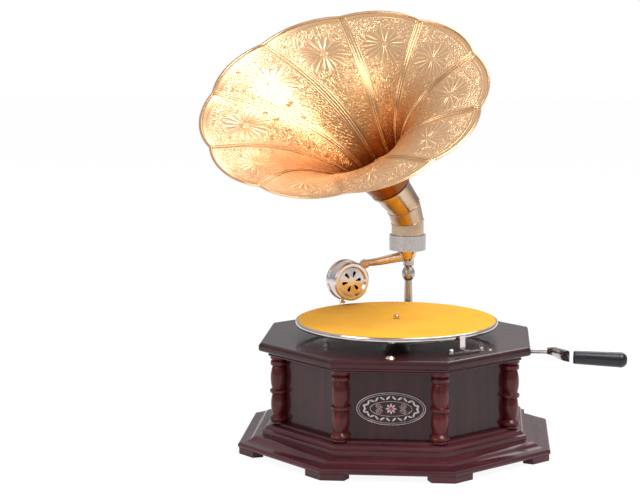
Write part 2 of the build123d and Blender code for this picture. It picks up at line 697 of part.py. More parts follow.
with BuildPart() as crank_handle:
    with BuildSketch(along_x(SOCKET_X)):
        Circle(CRANK_R)
    extrude(amount=CRANK_BEND_X - SOCKET_X)
    CRANK_STATIONS = [
        (CRANK_BEND_X, CRANK_Y, CRANK_Z, 4.2, 4.2),
        (CRANK_BEND_X + 5.0, CRANK_Y - 3.0, CRANK_Z + 0.3, 5.2, 3.6),
        (CRANK_BEND_X + 13.0, CRANK_Y - 22.0, CRANK_Z + 1.8, 6.8, 3.0),
        (CRANK_BEND_X + 21.0, GRIP_Y + 14.0, GRIP_Z - 1.0, 7.4, 3.2),
        (CRANK_BEND_X + 26.0, GRIP_Y + 1.0, GRIP_Z, 6.6, 4.0),
    ]
    CRANK_HEADINGS = [(1, 0, 0), (0.80, -0.60, 0.02), (0.38, -0.92, 0.08), (0.45, -0.88, 0.07), (1, -0.05, 0)]
    for (x, y, z, tall, thick), toward in zip(CRANK_STATIONS, CRANK_HEADINGS):
        side = Vector(*toward).cross(Vector(0, 0, 1))
        with BuildSketch(Plane(origin=(x, y, z), x_dir=side, z_dir=toward)):
            Ellipse(thick, tall)
    loft(ruled=False)
    with BuildSketch(GRIP_PLANE):
        Circle(PIN_R)
    extrude(amount=GRIP_START + GRIP_LEN - 4.0)
save(crank_handle.part, "crank_handle")

with BuildPart() as grip_blank:
    with BuildSketch(Plane.XZ):
        with BuildLine():
            Line((PIN_R + RUN, GRIP_START), (6.4, GRIP_START))
            RadiusArc((6.4, GRIP_START), (8.2, GRIP_START + 2.0), -2.0)
            Line((8.2, GRIP_START + 2.0), (9.4, GRIP_START + 56.0))
            RadiusArc((9.4, GRIP_START + 56.0), (4.0, GRIP_START + GRIP_LEN), -9.0)
            Line((4.0, GRIP_START + GRIP_LEN), (0, GRIP_START + GRIP_LEN))
            Line((0, GRIP_START + GRIP_LEN), (0, GRIP_START + GRIP_LEN - 3.4))
            Line((0, GRIP_START + GRIP_LEN - 3.4), (PIN_R + RUN, GRIP_START + GRIP_LEN - 3.4))
            Line((PIN_R + RUN, GRIP_START + GRIP_LEN - 3.4), (PIN_R + RUN, GRIP_START))
        make_face()
    revolve(axis=Axis.Z)
crank_grip = GRIP_PLANE.location * grip_blank.part
save(crank_grip, "crank_grip")

# Platter brake at the right of the board: base plate, lever, pad, knob and screws

BRAKE_PIVOT = (106.5, -101.0)
BRAKE_SCREW = (116.5, -98.0)
BRAKE_KNOB = (71.5, -127.0)
BRAKE_Z = BOARD_TOP

with BuildPart() as brake_base:
    with BuildSketch(Plane.XY.offset(BRAKE_Z)):
        with BuildLine():
            Line(BRAKE_PIVOT, BRAKE_SCREW)
        trace(line_width=9.0)
        with Locations(BRAKE_PIVOT, BRAKE_SCREW):
            Circle(4.5)
    extrude(amount=1.2)
    with BuildSketch(Plane(origin=(*BRAKE_PIVOT, BRAKE_Z + 1.2))):
        Circle(1.6)
    extrude(amount=3.6)
save(brake_base.part, "brake_base")

with BuildPart() as brake_screws:
    with BuildSketch(Plane(origin=(*BRAKE_PIVOT, BRAKE_Z + 4.8))):
        Circle(3.4)
        Circle(1.2, mode=Mode.SUBTRACT)
    extrude(amount=1.6)
    with BuildSketch(Plane(origin=(*BRAKE_SCREW, BRAKE_Z + 1.2))):
        Circle(3.6)
        Circle(1.4, mode=Mode.SUBTRACT)
    extrude(amount=2.4)
save(brake_screws.part, "brake_screws")

# The pad stands on a bent strip beside the turntable's rim, at the middle of the lever
PAD_DIR = Vector(0.643, -0.766, 0)
PAD_R = PLATTER_R + 0.5
PAD_T = 3.0
LEVER_TOP = BRAKE_Z + 3.4


def rim_block(inner, outer, low, high):
    """A small block on the brake's radius, between two radii and two heights."""
    with BuildPart() as block:
        with BuildSketch(Plane(origin=(*SPINDLE, low), x_dir=PAD_DIR, z_dir=(0, 0, 1))):
            with Locations(((inner + outer) / 2, 0)):
                Rectangle(outer - inner, 8.0)
        extrude(amount=high - low)
    return block.part


brake_pad = rim_block(PAD_R, PAD_R + PAD_T, 153.8, 158.8)
save(brake_pad, "brake_pad")

pad_finger = rim_block(PAD_R + PAD_T, PAD_R + PAD_T + 1.2, LEVER_TOP, 159.2)
pad_shelf = rim_block(PAD_R + PAD_T, PAD_R + PAD_T + 9.4, LEVER_TOP, LEVER_TOP + 1.2)
with BuildPart() as brake_lever:
    with BuildSketch(Plane.XY.offset(BRAKE_Z + 1.6)):
        with BuildLine():
            Line(BRAKE_PIVOT, BRAKE_KNOB)
        trace(line_width=4.2)
        with Locations(BRAKE_PIVOT, BRAKE_KNOB):
            Circle(4.0)
        with Locations(BRAKE_PIVOT):
            Circle(1.6 + RUN, mode=Mode.SUBTRACT)
    extrude(amount=1.8)
    add(pad_finger)
    add(pad_shelf)
save(brake_lever.part, "brake_lever")

with BuildPart() as brake_knob:
    with BuildSketch(Plane(origin=(*BRAKE_KNOB, BRAKE_Z + 3.4))):
        Circle(3.0)
    extrude(amount=4.4)
    fillet(brake_knob.edges().sort_by(Axis.Z)[-1], 1.4)
save(brake_knob.part, "brake_knob")

# Horn stand: a stepped pillar on a foot, and the ring that carries horn and tone arm

with BuildPart() as horn_post:
    with BuildSketch(Plane.XZ.offset(-POST[1])):
        with BuildLine():
            Polyline((POST[0], BOARD_TOP), (POST[0] + 13.0, BOARD_TOP), (POST[0] + 13.0, BOARD_TOP + 2.4))
            Polyline((POST[0] + 13.0, BOARD_TOP + 2.4), (POST[0] + 7.8, BOARD_TOP + 2.4))
            Line((POST[0] + 7.8, BOARD_TOP + 2.4), (POST[0] + 6.2, BOARD_TOP + 5.4))
            Polyline((POST[0] + 6.2, BOARD_TOP + 5.4), (POST[0] + 5.2, 185), (POST[0] + 7.0, 187))
            RadiusArc((POST[0] + 7.0, 187), (POST[0] + 7.0, 201), -14)
            Polyline((POST[0] + 7.0, 201), (POST[0] + 5.4, 203), (POST[0] + 7.4, 206))
            Polyline((POST[0] + 7.4, 206), (POST[0] + 7.4, 225), (POST[0] + 6.0, 228))
            Polyline((POST[0] + 6.0, 228), (POST[0] + 6.0, RING_Z + RING_H), (POST[0], RING_Z + RING_H))
            Line((POST[0], RING_Z + RING_H), (POST[0], BOARD_TOP))
        make_face()
    revolve(axis=Axis((POST[0], POST[1], 0), (0, 0, 1)))
save(horn_post.part, "horn_post")

RING_BORE = 21.8
LEDGE_BORE = 12.0
LEDGE_T = 3.0
SEAT_BORE = 16.5
HORN_SEAT = 6.5
with BuildPart() as horn_ring:
    with BuildSketch(Plane(origin=(*RING, RING_Z))):
        Circle(RING_R)
        with Locations((POST[0] - RING[0], POST[1] - RING[1])):
            Circle(9.5)
        with Locations((0, (POST[1] - RING[1]) / 2 + 8)):
            Rectangle(14, 16)
    extrude(amount=RING_H)
    with BuildSketch(Plane(origin=(*RING, RING_Z + HORN_SEAT))):
        Circle(RING_BORE)
    extrude(amount=RING_H, mode=Mode.SUBTRACT)
    with BuildSketch(Plane(origin=(*RING, RING_Z + LEDGE_T))):
        Circle(SEAT_BORE)
    extrude(amount=RING_H, mode=Mode.SUBTRACT)
    with BuildSketch(Plane(origin=(*RING, RING_Z))):
        Circle(LEDGE_BORE)
        with Locations((POST[0] - RING[0], POST[1] - RING[1])):
            Circle(6.0)
    extrude(amount=RING_H, mode=Mode.SUBTRACT)
save(horn_ring.part, "horn_ring")

with BuildPart() as stand_screws:
    with BuildSketch(Plane(origin=(POST[0], POST[1] + 9.5, RING_Z + RING_H / 2), z_dir=(0, 1, 0))):
        Circle(3.4)
    extrude(amount=3.0)
    with BuildSketch(Plane(origin=(*POST, BOARD_TOP + 2.4))):
        with PolarLocations(10.2, 3, start_angle=90):
            Circle(1.7)
    extrude(amount=1.0)
save(stand_screws.part, "stand_screws")

# Tone arm: a round cup that hangs in the ring, with a tapered tube leaving its side

ARM_DIR = Vector(ARM_END[0] - RING[0], ARM_END[1] - RING[1], 0).normalized()
BOX_N = Vector(sin(radians(BOX_TURN)), -cos(radians(BOX_TURN)), 0)
BOX_T = Vector(cos(radians(BOX_TURN)), sin(radians(BOX_TURN)), 0)
BOX_BACK = Vector(*BOX_C) - BOX_N * 15.0
GOOSE_BEND = Vector(*BOX_C) - BOX_N * 30.0
GOOSE_DIR = (GOOSE_BEND - Vector(*ARM_END)).normalized()


def arm_point(reach, z):
    """A point of the arm's centreline, by its reach from the swing axis."""
    return Vector(RING[0], RING[1], z) + ARM_DIR * reach


def arm_heading(slope):
    """Heading along the arm, falling by slope degrees."""
    return ARM_DIR * cos(radians(slope)) - Vector(0, 0, 1) * sin(radians(slope))


ARM_TAIL = 5.0
ARM_TAIL_R = 4.9
ARM_WALL = 0.9
SWIVEL = Vector(*ARM_END) + GOOSE_DIR * ARM_TAIL
ARM_TOP = RING_Z - 0.4
ARM_STATIONS = [
    (arm_point(0.0, RING_Z - 8.6), arm_heading(13), 7.2),
    (arm_point(15.0, RING_Z - 11.6), arm_heading(13), 6.5),
    (arm_point(34.0, RING_Z - 16.2), arm_heading(15), 5.6),
    (Vector(*ARM_END), GOOSE_DIR, ARM_TAIL_R),
]


def arm_solid(shrink):
    """The tube's outside, or its bore when shrunk by the wall."""
    with BuildPart() as pipe:
        for centre, toward, radius in ARM_STATIONS:
            with BuildSketch(Plane(origin=centre, z_dir=toward)):
                Circle(radius - shrink)
        loft()
        with BuildSketch(Plane(origin=ARM_END, z_dir=GOOSE_DIR)):
            Circle(ARM_TAIL_R - shrink)
        extrude(amount=ARM_TAIL)
    return pipe.part


def cup_solid(outline):
    """Revolve an outline of (radius, depth under the cup's top) pairs about the swing axis."""
    with BuildPart() as cup:
        with BuildSketch(Plane.XZ):
            with BuildLine():
                Polyline(*outline, close=True)
            make_face()
        revolve(axis=Axis.Z)
    return Pos(RING[0], RING[1], ARM_TOP) * cup.part


arm_outside = arm_solid(0.0)
arm_bore = arm_solid(ARM_WALL)
cup_outside = cup_solid([(0, 0), (13.6, 0), (13.6, -1.4), (11.6, -5.0), (9.8, -11.0), (6.0, -14.6), (0, -15.6)])
cup_inside = cup_solid([(0, 0), (10.4, 0), (10.4, -2.6), (9.6, -5.6), (8.6, -10.4), (5.4, -13.4), (0, -14.4)])
with BuildPart() as tone_arm:
    add(cup_outside)
    add(arm_outside)
    add(cup_inside, mode=Mode.SUBTRACT)
    add(arm_bore, mode=Mode.SUBTRACT)
    with BuildSketch(Plane(origin=(*RING, ARM_TOP))):
        Circle(LEDGE_BORE - RUN)
        Circle(LEDGE_BORE - 1.6, mode=Mode.SUBTRACT)
    extrude(amount=LEDGE_T + 2.6)
save(tone_arm.part, "tone_arm")

with BuildPart() as arm_keeper:
    with BuildSketch(Plane(origin=(*RING, RING_Z + LEDGE_T + 0.2))):
        Circle(LEDGE_BORE + 2.6)
        Circle(LEDGE_BORE - RUN, mode=Mode.SUBTRACT)
    extrude(amount=1.6)
save(arm_keeper.part, "arm_keeper")

with BuildPart() as swivel_collar:
    with BuildSketch(Plane(origin=ARM_END, z_dir=GOOSE_DIR)):
        Circle(6.5)
        Circle(ARM_TAIL_R, mode=Mode.SUBTRACT)
    extrude(amount=ARM_TAIL)
    with BuildSketch(Plane(origin=SWIVEL, z_dir=GOOSE_DIR)):
        Circle(6.5)
        Circle(ARM_TAIL_R + RUN, mode=Mode.SUBTRACT)
    extrude(amount=2.5)
save(swivel_collar.part, "swivel_collar")

# Sound box, on its own plane: x right, y up as seen from the front, z out of its face

BOX_UP = Vector(0, 0, 1) * cos(radians(BOX_ROLL)) + BOX_T * sin(radians(BOX_ROLL))
BOX_PLANE = Plane(origin=BOX_C, x_dir=BOX_UP.cross(BOX_N), z_dir=BOX_N)
with BuildPart() as gooseneck:
    with BuildLine() as goose_path:
        FilletPolyline(SWIVEL, GOOSE_BEND, BOX_BACK, radius=7.0)
    with BuildSketch(Plane(origin=goose_path.wire() @ 0, z_dir=goose_path.wire() % 0)):
        Circle(ARM_TAIL_R)
        Circle(ARM_TAIL_R - 0.9, mode=Mode.SUBTRACT)
    sweep()
save(gooseneck.part, "gooseneck")


def turned_box(points):
    """Revolve an outline of (radius, height) pairs about the sound box's axis."""
    with BuildPart() as blank:
        with BuildSketch(Plane.XZ):
            with BuildLine():
                Polyline(*points, close=True)
            make_face()
        revolve(axis=Axis.Z)
    return BOX_PLANE.location * blank.part


box_shell = turned_box([
    (4.1, -15), (7.2, -15), (7.2, -12.9), (19, -12.4), (25, -11.6), (27, -10.2), (27, -6.6), (BOX_R, -5.2),
    (BOX_R, 6.5), (23.4, 6.5), (23.4, -5.2), (21.0, -5.2), (21.0, -8.2), (14, -10.2), (4.1, -10.6),
])


def box_disc(inner, outer, low, height):
    """A flat ring or disc square to the sound box's axis."""
    with BuildPart() as disc:
        with BuildSketch(BOX_PLANE.offset(low)):
            Circle(outer)
            if inner:
                Circle(inner, mode=Mode.SUBTRACT)
        extrude(amount=height)
    return disc.part


# From the back: gasket, diaphragm, gasket, with the needle bar's flat strip in front of them
SEAT_Z = -5.2
DIAPHRAGM_Z = -3.6
DIAPHRAGM_T = 0.5
DIAPHRAGM_TOP = DIAPHRAGM_Z + DIAPHRAGM_T
FRONT_Z = DIAPHRAGM_TOP + 1.3
BAR_Z = -1.4
BAR_T = 2.2
with BuildPart() as bar_notch:
    with BuildSketch(BOX_PLANE.offset(BAR_Z - 0.8)):
        with Locations((0, -BOX_R + 1.0)):
            Rectangle(6.0, 8.0)
    extrude(amount=BAR_T + 1.6)
with BuildPart() as sound_box_shell:
    add(box_shell)
    add(bar_notch.part, mode=Mode.SUBTRACT)
save(sound_box_shell.part, "sound_box_shell")

back_gasket = box_disc(21.2, 23.3, SEAT_Z, DIAPHRAGM_Z - SEAT_Z)
front_gasket = box_disc(21.2, 23.3, DIAPHRAGM_TOP, FRONT_Z - DIAPHRAGM_TOP)
save(Compound(children=[back_gasket, front_gasket]), "diaphragm_gaskets")
save(box_disc(0, 23.2, DIAPHRAGM_Z, DIAPHRAGM_T), "diaphragm")

SLOTS = 6
with BuildSketch() as teardrop:
    with BuildLine():
        Line((5.7, 0.5), (5.7, -0.5))
        Line((5.7, -0.5), (11.6, -2.2))
        ThreePointArc((11.6, -2.2), (14.0, 0), (11.6, 2.2))
        Line((11.6, 2.2), (5.7, 0.5))
    make_face()
with BuildPart() as sound_box_front:
    add(turned_box([
        (0, 11.2), (0, 9.8), (19.4, 8.2), (21.2, FRONT_Z), (23.3, FRONT_Z), (23.3, 6.5),
        (BOX_R, 6.5), (BOX_R, 11.0), (23.4, 13.0), (20.2, 13.0), (17.8, 10.4), (6.0, 11.2),
    ]))
    add(bar_notch.part, mode=Mode.SUBTRACT)
    with BuildSketch(BOX_PLANE.offset(13)):
        with PolarLocations(0, SLOTS, start_angle=-90):
            add(teardrop.sketch)
    extrude(amount=-6.0, mode=Mode.SUBTRACT)
save(sound_box_front.part, "sound_box_front")

# Needle bar: passes the rim's notch, reaches the diaphragm's centre, and ends in the needle chuck
NEEDLE_TIP_Z = FELT_TOP + 0.2
CHUCK_TOP = -26.2
CHUCK_LEN = 4.2
CHUCK_Z = BAR_Z + BAR_T / 2


def box_point(right, up, out):
    """A point in the sound box's own frame."""
    return BOX_PLANE.from_local_coords((right, up, out))


with BuildPart() as needle_bar:
    with BuildSketch(BOX_PLANE.offset(BAR_Z)):
        with Locations((0, CHUCK_TOP / 2)):
            Rectangle(2.4, -CHUCK_TOP)
    extrude(amount=BAR_T)
    with BuildSketch(BOX_PLANE.offset(DIAPHRAGM_TOP)):
        Circle(1.6)
    extrude(amount=BAR_Z + BAR_T - DIAPHRAGM_TOP)
    with BuildSketch(Plane(origin=box_point(0, CHUCK_TOP, CHUCK_Z), z_dir=-BOX_UP)):
        Circle(2.5)
    extrude(amount=CHUCK_LEN)
save(needle_bar.part, "needle_bar")

CHUCK_END = box_point(0, CHUCK_TOP - CHUCK_LEN, CHUCK_Z)
NEEDLE_DIR = (Vector(0, 0, -1) - BOX_T * 0.55).normalized()
NEEDLE_LEN = (CHUCK_END.Z - NEEDLE_TIP_Z) / -NEEDLE_DIR.Z
NEEDLE_TIP = CHUCK_END + NEEDLE_DIR * NEEDLE_LEN
with BuildPart() as needle:
    with BuildSketch(Plane(origin=CHUCK_END, z_dir=-BOX_UP)):
        Circle(0.8)
    with BuildSketch(Plane(origin=NEEDLE_TIP, z_dir=(0, 0, -1))):
        Circle(0.15)
    loft()
save(needle.part, "needle")

SCREW_Y = CHUCK_TOP - 2.8
with BuildPart() as needle_screw:
    with BuildSketch(Plane(origin=box_point(0, SCREW_Y, CHUCK_Z + 2.5), z_dir=BOX_N)):
        Circle(1.1)
    extrude(amount=2.0)
    with BuildSketch(Plane(origin=box_point(0, SCREW_Y, CHUCK_Z + 4.5), x_dir=BOX_T, z_dir=BOX_N)):
        Ellipse(3.1, 1.9)
    extrude(amount=2.4)
    add(needle_bar.part, mode=Mode.SUBTRACT)
save(needle_screw.part, "needle_screw")

# Horn: mitred elbow, throat band, ten-petal bell and rim wire

ELBOW_R = 21.4
ELBOW_T = 1.2
ELBOW = [
    (Vector(*RING, RING_Z + HORN_SEAT + 0.1), Vector(0, 0, 1), ELBOW_R),
    (Vector(*RING, 268.0), heading(-40, 80), ELBOW_R),
    (Vector(3.0, 107.0, 289.5), heading(-40, 58), 22.4),
    (THROAT_C, heading(THROAT_AZ, THROAT_EL), BELL[-1][0]),
]


def ruled_tube(stations, wall):
    """Mitred conical lengths of sheet metal between round sections."""
    with BuildPart() as pipe:
        for centre, toward, radius in stations:
            with BuildSketch(Plane(origin=centre, z_dir=toward)):
                Circle(radius)
        loft(ruled=True)
        for centre, toward, radius in stations:
            with BuildSketch(Plane(origin=centre, z_dir=toward)):
                Circle(radius - wall)
        loft(ruled=True, mode=Mode.SUBTRACT)
    return pipe.part


horn_elbow = ruled_tube(ELBOW, ELBOW_T)
save(horn_elbow, "horn_elbow")

MOUTH_DIR = heading(MOUTH_AZ, MOUTH_EL)
THROAT_DIR = heading(THROAT_AZ, THROAT_EL)
SPINE = (MOUTH_C - THROAT_C).length
HANDLE = 0.36


def spine(share):
    """Centre and heading of the horn's curved axis, from throat at 0 to mouth at 1."""
    p0 = THROAT_C
    p1 = THROAT_C + THROAT_DIR * SPINE * HANDLE
    p2 = MOUTH_C - MOUTH_DIR * SPINE * HANDLE
    p3 = MOUTH_C
    u = 1 - share
    centre = p0 * u ** 3 + p1 * 3 * u ** 2 * share + p2 * 3 * u * share ** 2 + p3 * share ** 3
    toward = (p1 - p0) * 3 * u ** 2 + (p2 - p1) * 6 * u * share + (p3 - p2) * 3 * share ** 2
    return centre, toward.normalized()


def bell_plane(depth, shift):
    """Plane of one ring of the bell, moved along the horn's axis by shift."""
    centre, toward = spine(1 - depth / BELL[-1][1])
    level = Vector(0, 0, 1).cross(toward)
    return Plane(origin=centre + toward * shift, x_dir=level, z_dir=toward)


def petal_ring(radius, bulge):
    """One ring of the bell: ten arcs between the seams, bowed outwards."""
    step = 2 * pi / PETALS
    start = radians(MOUTH_PHASE)
    mid_r = radius * (1 + bulge)
    for i in range(PETALS):
        a = start + step * i
        m = a + step / 2
        b = a + step
        ThreePointArc(
            (radius * cos(a), radius * sin(a)),
            (mid_r * cos(m), mid_r * sin(m)),
            (radius * cos(b), radius * sin(b)),
        )


with BuildPart() as horn_bell:
    for radius, depth, bulge in BELL:
        with BuildSketch(bell_plane(depth, 0)):
            with BuildLine():
                petal_ring(radius, bulge)
            make_face()
    loft(ruled=True)
    for radius, depth, bulge in BELL:
        with BuildSketch(bell_plane(depth, HORN_T if depth < BELL[-1][1] else 0)):
            with BuildLine():
                petal_ring(radius - HORN_T, bulge)
            make_face()
    loft(ruled=True, mode=Mode.SUBTRACT)
save(horn_bell.part, "horn_bell")

# A wired band covers the joint, on the elbow's side of it
BAND_H = 3.0
with BuildPart() as throat_band:
    with BuildSketch(Plane(origin=THROAT_C - THROAT_DIR * BAND_H, z_dir=THROAT_DIR)):
        Circle(BELL[-1][0] + 1.4)
        Circle(BELL[-1][0] + 0.1, mode=Mode.SUBTRACT)
    extrude(amount=BAND_H)
save(throat_band.part, "throat_band")
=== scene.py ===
from math import atan2, cos, pi, radians, sin

import bmesh
import bpy
from mathutils import Matrix, Vector


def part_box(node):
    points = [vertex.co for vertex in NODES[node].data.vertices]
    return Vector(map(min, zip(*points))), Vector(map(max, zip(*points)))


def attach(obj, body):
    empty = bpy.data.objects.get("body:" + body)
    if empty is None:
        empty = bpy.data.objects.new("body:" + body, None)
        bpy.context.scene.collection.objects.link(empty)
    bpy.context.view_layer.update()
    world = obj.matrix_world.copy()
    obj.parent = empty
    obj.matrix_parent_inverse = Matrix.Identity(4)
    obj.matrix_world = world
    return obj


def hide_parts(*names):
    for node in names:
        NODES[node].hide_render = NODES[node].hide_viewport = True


bl_info = {
    "name": "Horn Gramophone",
    "version": (1, 0, 0),
    "blender": (4, 5, 0),
    "location": "3D View > Sidebar > Gramophone",
    "description": "Dresses the gramophone's frame with its horn, felt, ornament, finishes and studio",
    "category": "Object",
}

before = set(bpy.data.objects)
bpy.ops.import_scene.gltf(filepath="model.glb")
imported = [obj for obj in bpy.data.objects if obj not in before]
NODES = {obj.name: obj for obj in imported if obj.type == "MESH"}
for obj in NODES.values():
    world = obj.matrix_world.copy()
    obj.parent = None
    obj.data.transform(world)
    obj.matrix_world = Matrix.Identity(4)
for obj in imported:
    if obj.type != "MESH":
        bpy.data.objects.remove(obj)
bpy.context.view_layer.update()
MM = 0.001

# The horn's axis and rings, in millimetres, as the metal spinner would set them out
PETALS = 10
MOUTH = Vector((-68.7, 6.0, 435.0))
THROAT = Vector((-14.6, 86.0, 317.0))
MOUTH_PHASE = 141.0
HANDLE = 0.36
BELL_DEPTH = 150.0
BELL = [
    (25.5, 150.0, 0.006), (38.0, 108.0, 0.010), (57.0, 76.0, 0.014), (81.0, 49.0, 0.018),
    (107.0, 29.0, 0.022), (134.0, 15.0, 0.026), (160.0, 6.0, 0.030), (178.0, 0.0, 0.035),
]


class GramophoneFinish(bpy.types.PropertyGroup):
    """Colours of the finishes."""
    brass: bpy.props.FloatVectorProperty(
        name="Brass", description="Polished brass at the horn's rim", subtype="COLOR", size=4,
        default=(0.93, 0.62, 0.36, 1.0))
    # Painted shade: the horn's brass is darkened towards the throat, where the horn's walls shade it; this is the
    # darkest colour of that shade
    brass_throat_shade: bpy.props.FloatVectorProperty(
        name="Brass in the throat's painted shade", description="Brass deep inside the horn, in painted shade", subtype="COLOR", size=4,
        default=(0.26, 0.085, 0.020, 1.0))
    nickel: bpy.props.FloatVectorProperty(
        name="Nickel", description="Bright nickel plate", subtype="COLOR", size=4,
        default=(0.68, 0.63, 0.61, 1.0))
    mahogany: bpy.props.FloatVectorProperty(
        name="Dark mahogany", description="Panels and board", subtype="COLOR", size=4,
        default=(0.034, 0.0050, 0.0068, 1.0))
    mahogany_red: bpy.props.FloatVectorProperty(
        name="Red mahogany", description="Columns and plinth", subtype="COLOR", size=4,
        default=(0.100, 0.0095, 0.0085, 1.0))
    # Partly painted reflection: dark mahogany tinted lavender, standing for the bright sky reflected in the lacquer of
    # plinth, cornice and feet
    plinth_mahogany_and_reflection: bpy.props.FloatVectorProperty(
        name="Plinth mahogany with painted reflection", description="Mouldings and feet", subtype="COLOR", size=4,
        default=(0.066, 0.0140, 0.0190, 1.0))
    felt: bpy.props.FloatVectorProperty(
        name="Felt", description="Turntable mat", subtype="COLOR", size=4,
        default=(0.88, 0.44, 0.035, 1.0))


class GramophoneSizes(bpy.types.PropertyGroup):
    """Sizes of the added pieces."""
    rim_wire: bpy.props.FloatProperty(
        name="Rim wire", description="Radius of the wire rolled into the horn's rim",
        default=0.0014, unit="LENGTH")
    seam_ridge: bpy.props.FloatProperty(
        name="Seam ridge", description="Radius of each of the two ridges along a petal seam",
        default=0.0009, unit="LENGTH")
    seam_gap: bpy.props.FloatProperty(
        name="Seam gap", description="Half the distance between the two ridges of a seam",
        default=0.0019, unit="LENGTH")
    sheet_metal: bpy.props.FloatProperty(
        name="Horn sheet", description="Thickness of the horn's brass", default=0.0009, unit="LENGTH")
    felt_pile: bpy.props.FloatProperty(
        name="Felt pile", description="Thickness of the mat", default=0.0016, unit="LENGTH")


# Node materials

class Finish:
    """A node material on the principled shader, built up socket by socket."""

    def __init__(self, name, colour, **sockets):
        self.material = bpy.data.materials.new(name)
        self.material.use_nodes = True
        self.tree = self.material.node_tree
        self.shader = self.tree.nodes["Principled BSDF"]
        self.shader.inputs["Base Color"].default_value = colour
        for socket, value in sockets.items():
            self.shader.inputs[socket.replace("_", " ").title().replace("Ior", "IOR")].default_value = value
        self.material.diffuse_color = colour

    def node(self, kind, **values):
        made = self.tree.nodes.new(kind)
        for key, value in values.items():
            setattr(made, key, value)
        return made

    def link(self, start, end):
        self.tree.links.new(start, end)

    def math(self, operation, first, second=0.0, third=0.0):
        made = self.node("ShaderNodeMath", operation=operation)
        for socket, value in zip(made.inputs, (first, second, third)):
            if isinstance(value, (int, float)):
                socket.default_value = value
            else:
                self.link(value, socket)
        return made.outputs[0]

    def place(self, scale=(1, 1, 1), turn=(0, 0, 0)):
        """Object coordinates through a mapping."""
        coords = self.node("ShaderNodeTexCoord")
        mapping = self.node("ShaderNodeMapping")
        mapping.inputs["Scale"].default_value = scale
        mapping.inputs["Rotation"].default_value = turn
        self.link(coords.outputs["Object"], mapping.inputs["Vector"])
        return mapping.outputs["Vector"]

    def noise(self, where, scale, detail=4.0, distortion=0.0):
        made = self.node("ShaderNodeTexNoise")
        made.inputs["Scale"].default_value = scale
        made.inputs["Detail"].default_value = detail
        made.inputs["Distortion"].default_value = distortion
        self.link(where, made.inputs["Vector"])
        return made.outputs["Fac"]

    def span(self, value, low, high, out_low, out_high):
        made = self.node("ShaderNodeMapRange", clamp=True)
        for socket, number in zip(made.inputs[1:5], (low, high, out_low, out_high)):
            socket.default_value = number
        self.link(value, made.inputs[0])
        return made.outputs[0]

    def ramp(self, value, *stops):
        made = self.node("ShaderNodeValToRGB")
        marks = made.color_ramp.elements
        while len(marks) < len(stops):
            marks.new(0.5)
        for mark, (place, colour) in zip(marks, stops):
            mark.position = place
            mark.color = colour
        self.link(value, made.inputs["Fac"])
        return made.outputs["Color"]

    def roughness(self, value):
        self.link(value, self.shader.inputs["Roughness"])

    def colour(self, value):
        self.link(value, self.shader.inputs["Base Color"])

    def bump(self, height, distance, strength=1.0):
        made = self.node("ShaderNodeBump")
        made.inputs["Strength"].default_value = strength
        made.inputs["Distance"].default_value = distance
        self.link(height, made.inputs["Height"])
        self.link(made.outputs["Normal"], self.shader.inputs["Normal"])


def tint(colour, share):
    """The colour made lighter or darker by share."""
    return (*[min(1.0, channel * share) for channel in colour[:3]], 1.0)


def lacquered_wood(name, colour, grain):
    """Dark lacquered wood: grain drawn out along one direction under a glossy coat."""
    finish = Finish(
        name, colour, roughness=0.40, coat_weight=0.5, coat_roughness=0.05, coat_ior=1.45, specular_ior_level=0.15)
    streaks = finish.noise(finish.place(grain), 1.0, 6.0, 0.4)
    pores = finish.noise(finish.place(tuple(3.5 * g for g in grain)), 1.0, 3.0)
    both = finish.math("ADD", finish.math("MULTIPLY", streaks, 0.75), finish.math("MULTIPLY", pores, 0.25))
    finish.colour(finish.ramp(both, (0.30, tint(colour, 0.55)), (0.50, colour), (0.72, tint(colour, 1.75))))
    finish.roughness(finish.span(pores, 0.3, 0.7, 0.26, 0.42))
    finish.bump(pores, 0.00008, 0.35)
    return finish.material


def plated(name, colour, rough=0.13):
    """Bright plate: faint cloudiness and hair scratches."""
    finish = Finish(name, colour, metallic=1.0, roughness=rough)
    cloud = finish.noise(finish.place((1, 1, 1)), 60.0, 3.0)
    hair = finish.noise(finish.place((40, 400, 40)), 6.0, 2.0)
    finish.colour(finish.ramp(cloud, (0.35, tint(colour, 0.90)), (0.65, tint(colour, 1.08))))
    finish.roughness(finish.span(finish.math("MULTIPLY", cloud, hair), 0.1, 0.4, rough * 0.7, rough * 1.7))
    finish.bump(hair, 0.00002, 0.25)
    return finish.material


def sheet_brass(name, colour, deep):
    """Plain polished brass of elbow, band and wheels, a little deeper in random patches."""
    finish = Finish(name, colour, metallic=1.0, roughness=0.2)
    cloud = finish.noise(finish.place((1, 1, 1)), 28.0, 4.0, 0.6)
    spun = finish.noise(finish.place((30, 30, 900)), 1.0, 2.0)
    finish.colour(finish.ramp(cloud, (0.30, deep), (0.55, tint(colour, 0.96)), (0.75, tint(colour, 1.04))))
    finish.roughness(finish.span(cloud, 0.3, 0.7, 0.17, 0.30))
    finish.bump(spun, 0.00003, 0.3)
    return finish.material


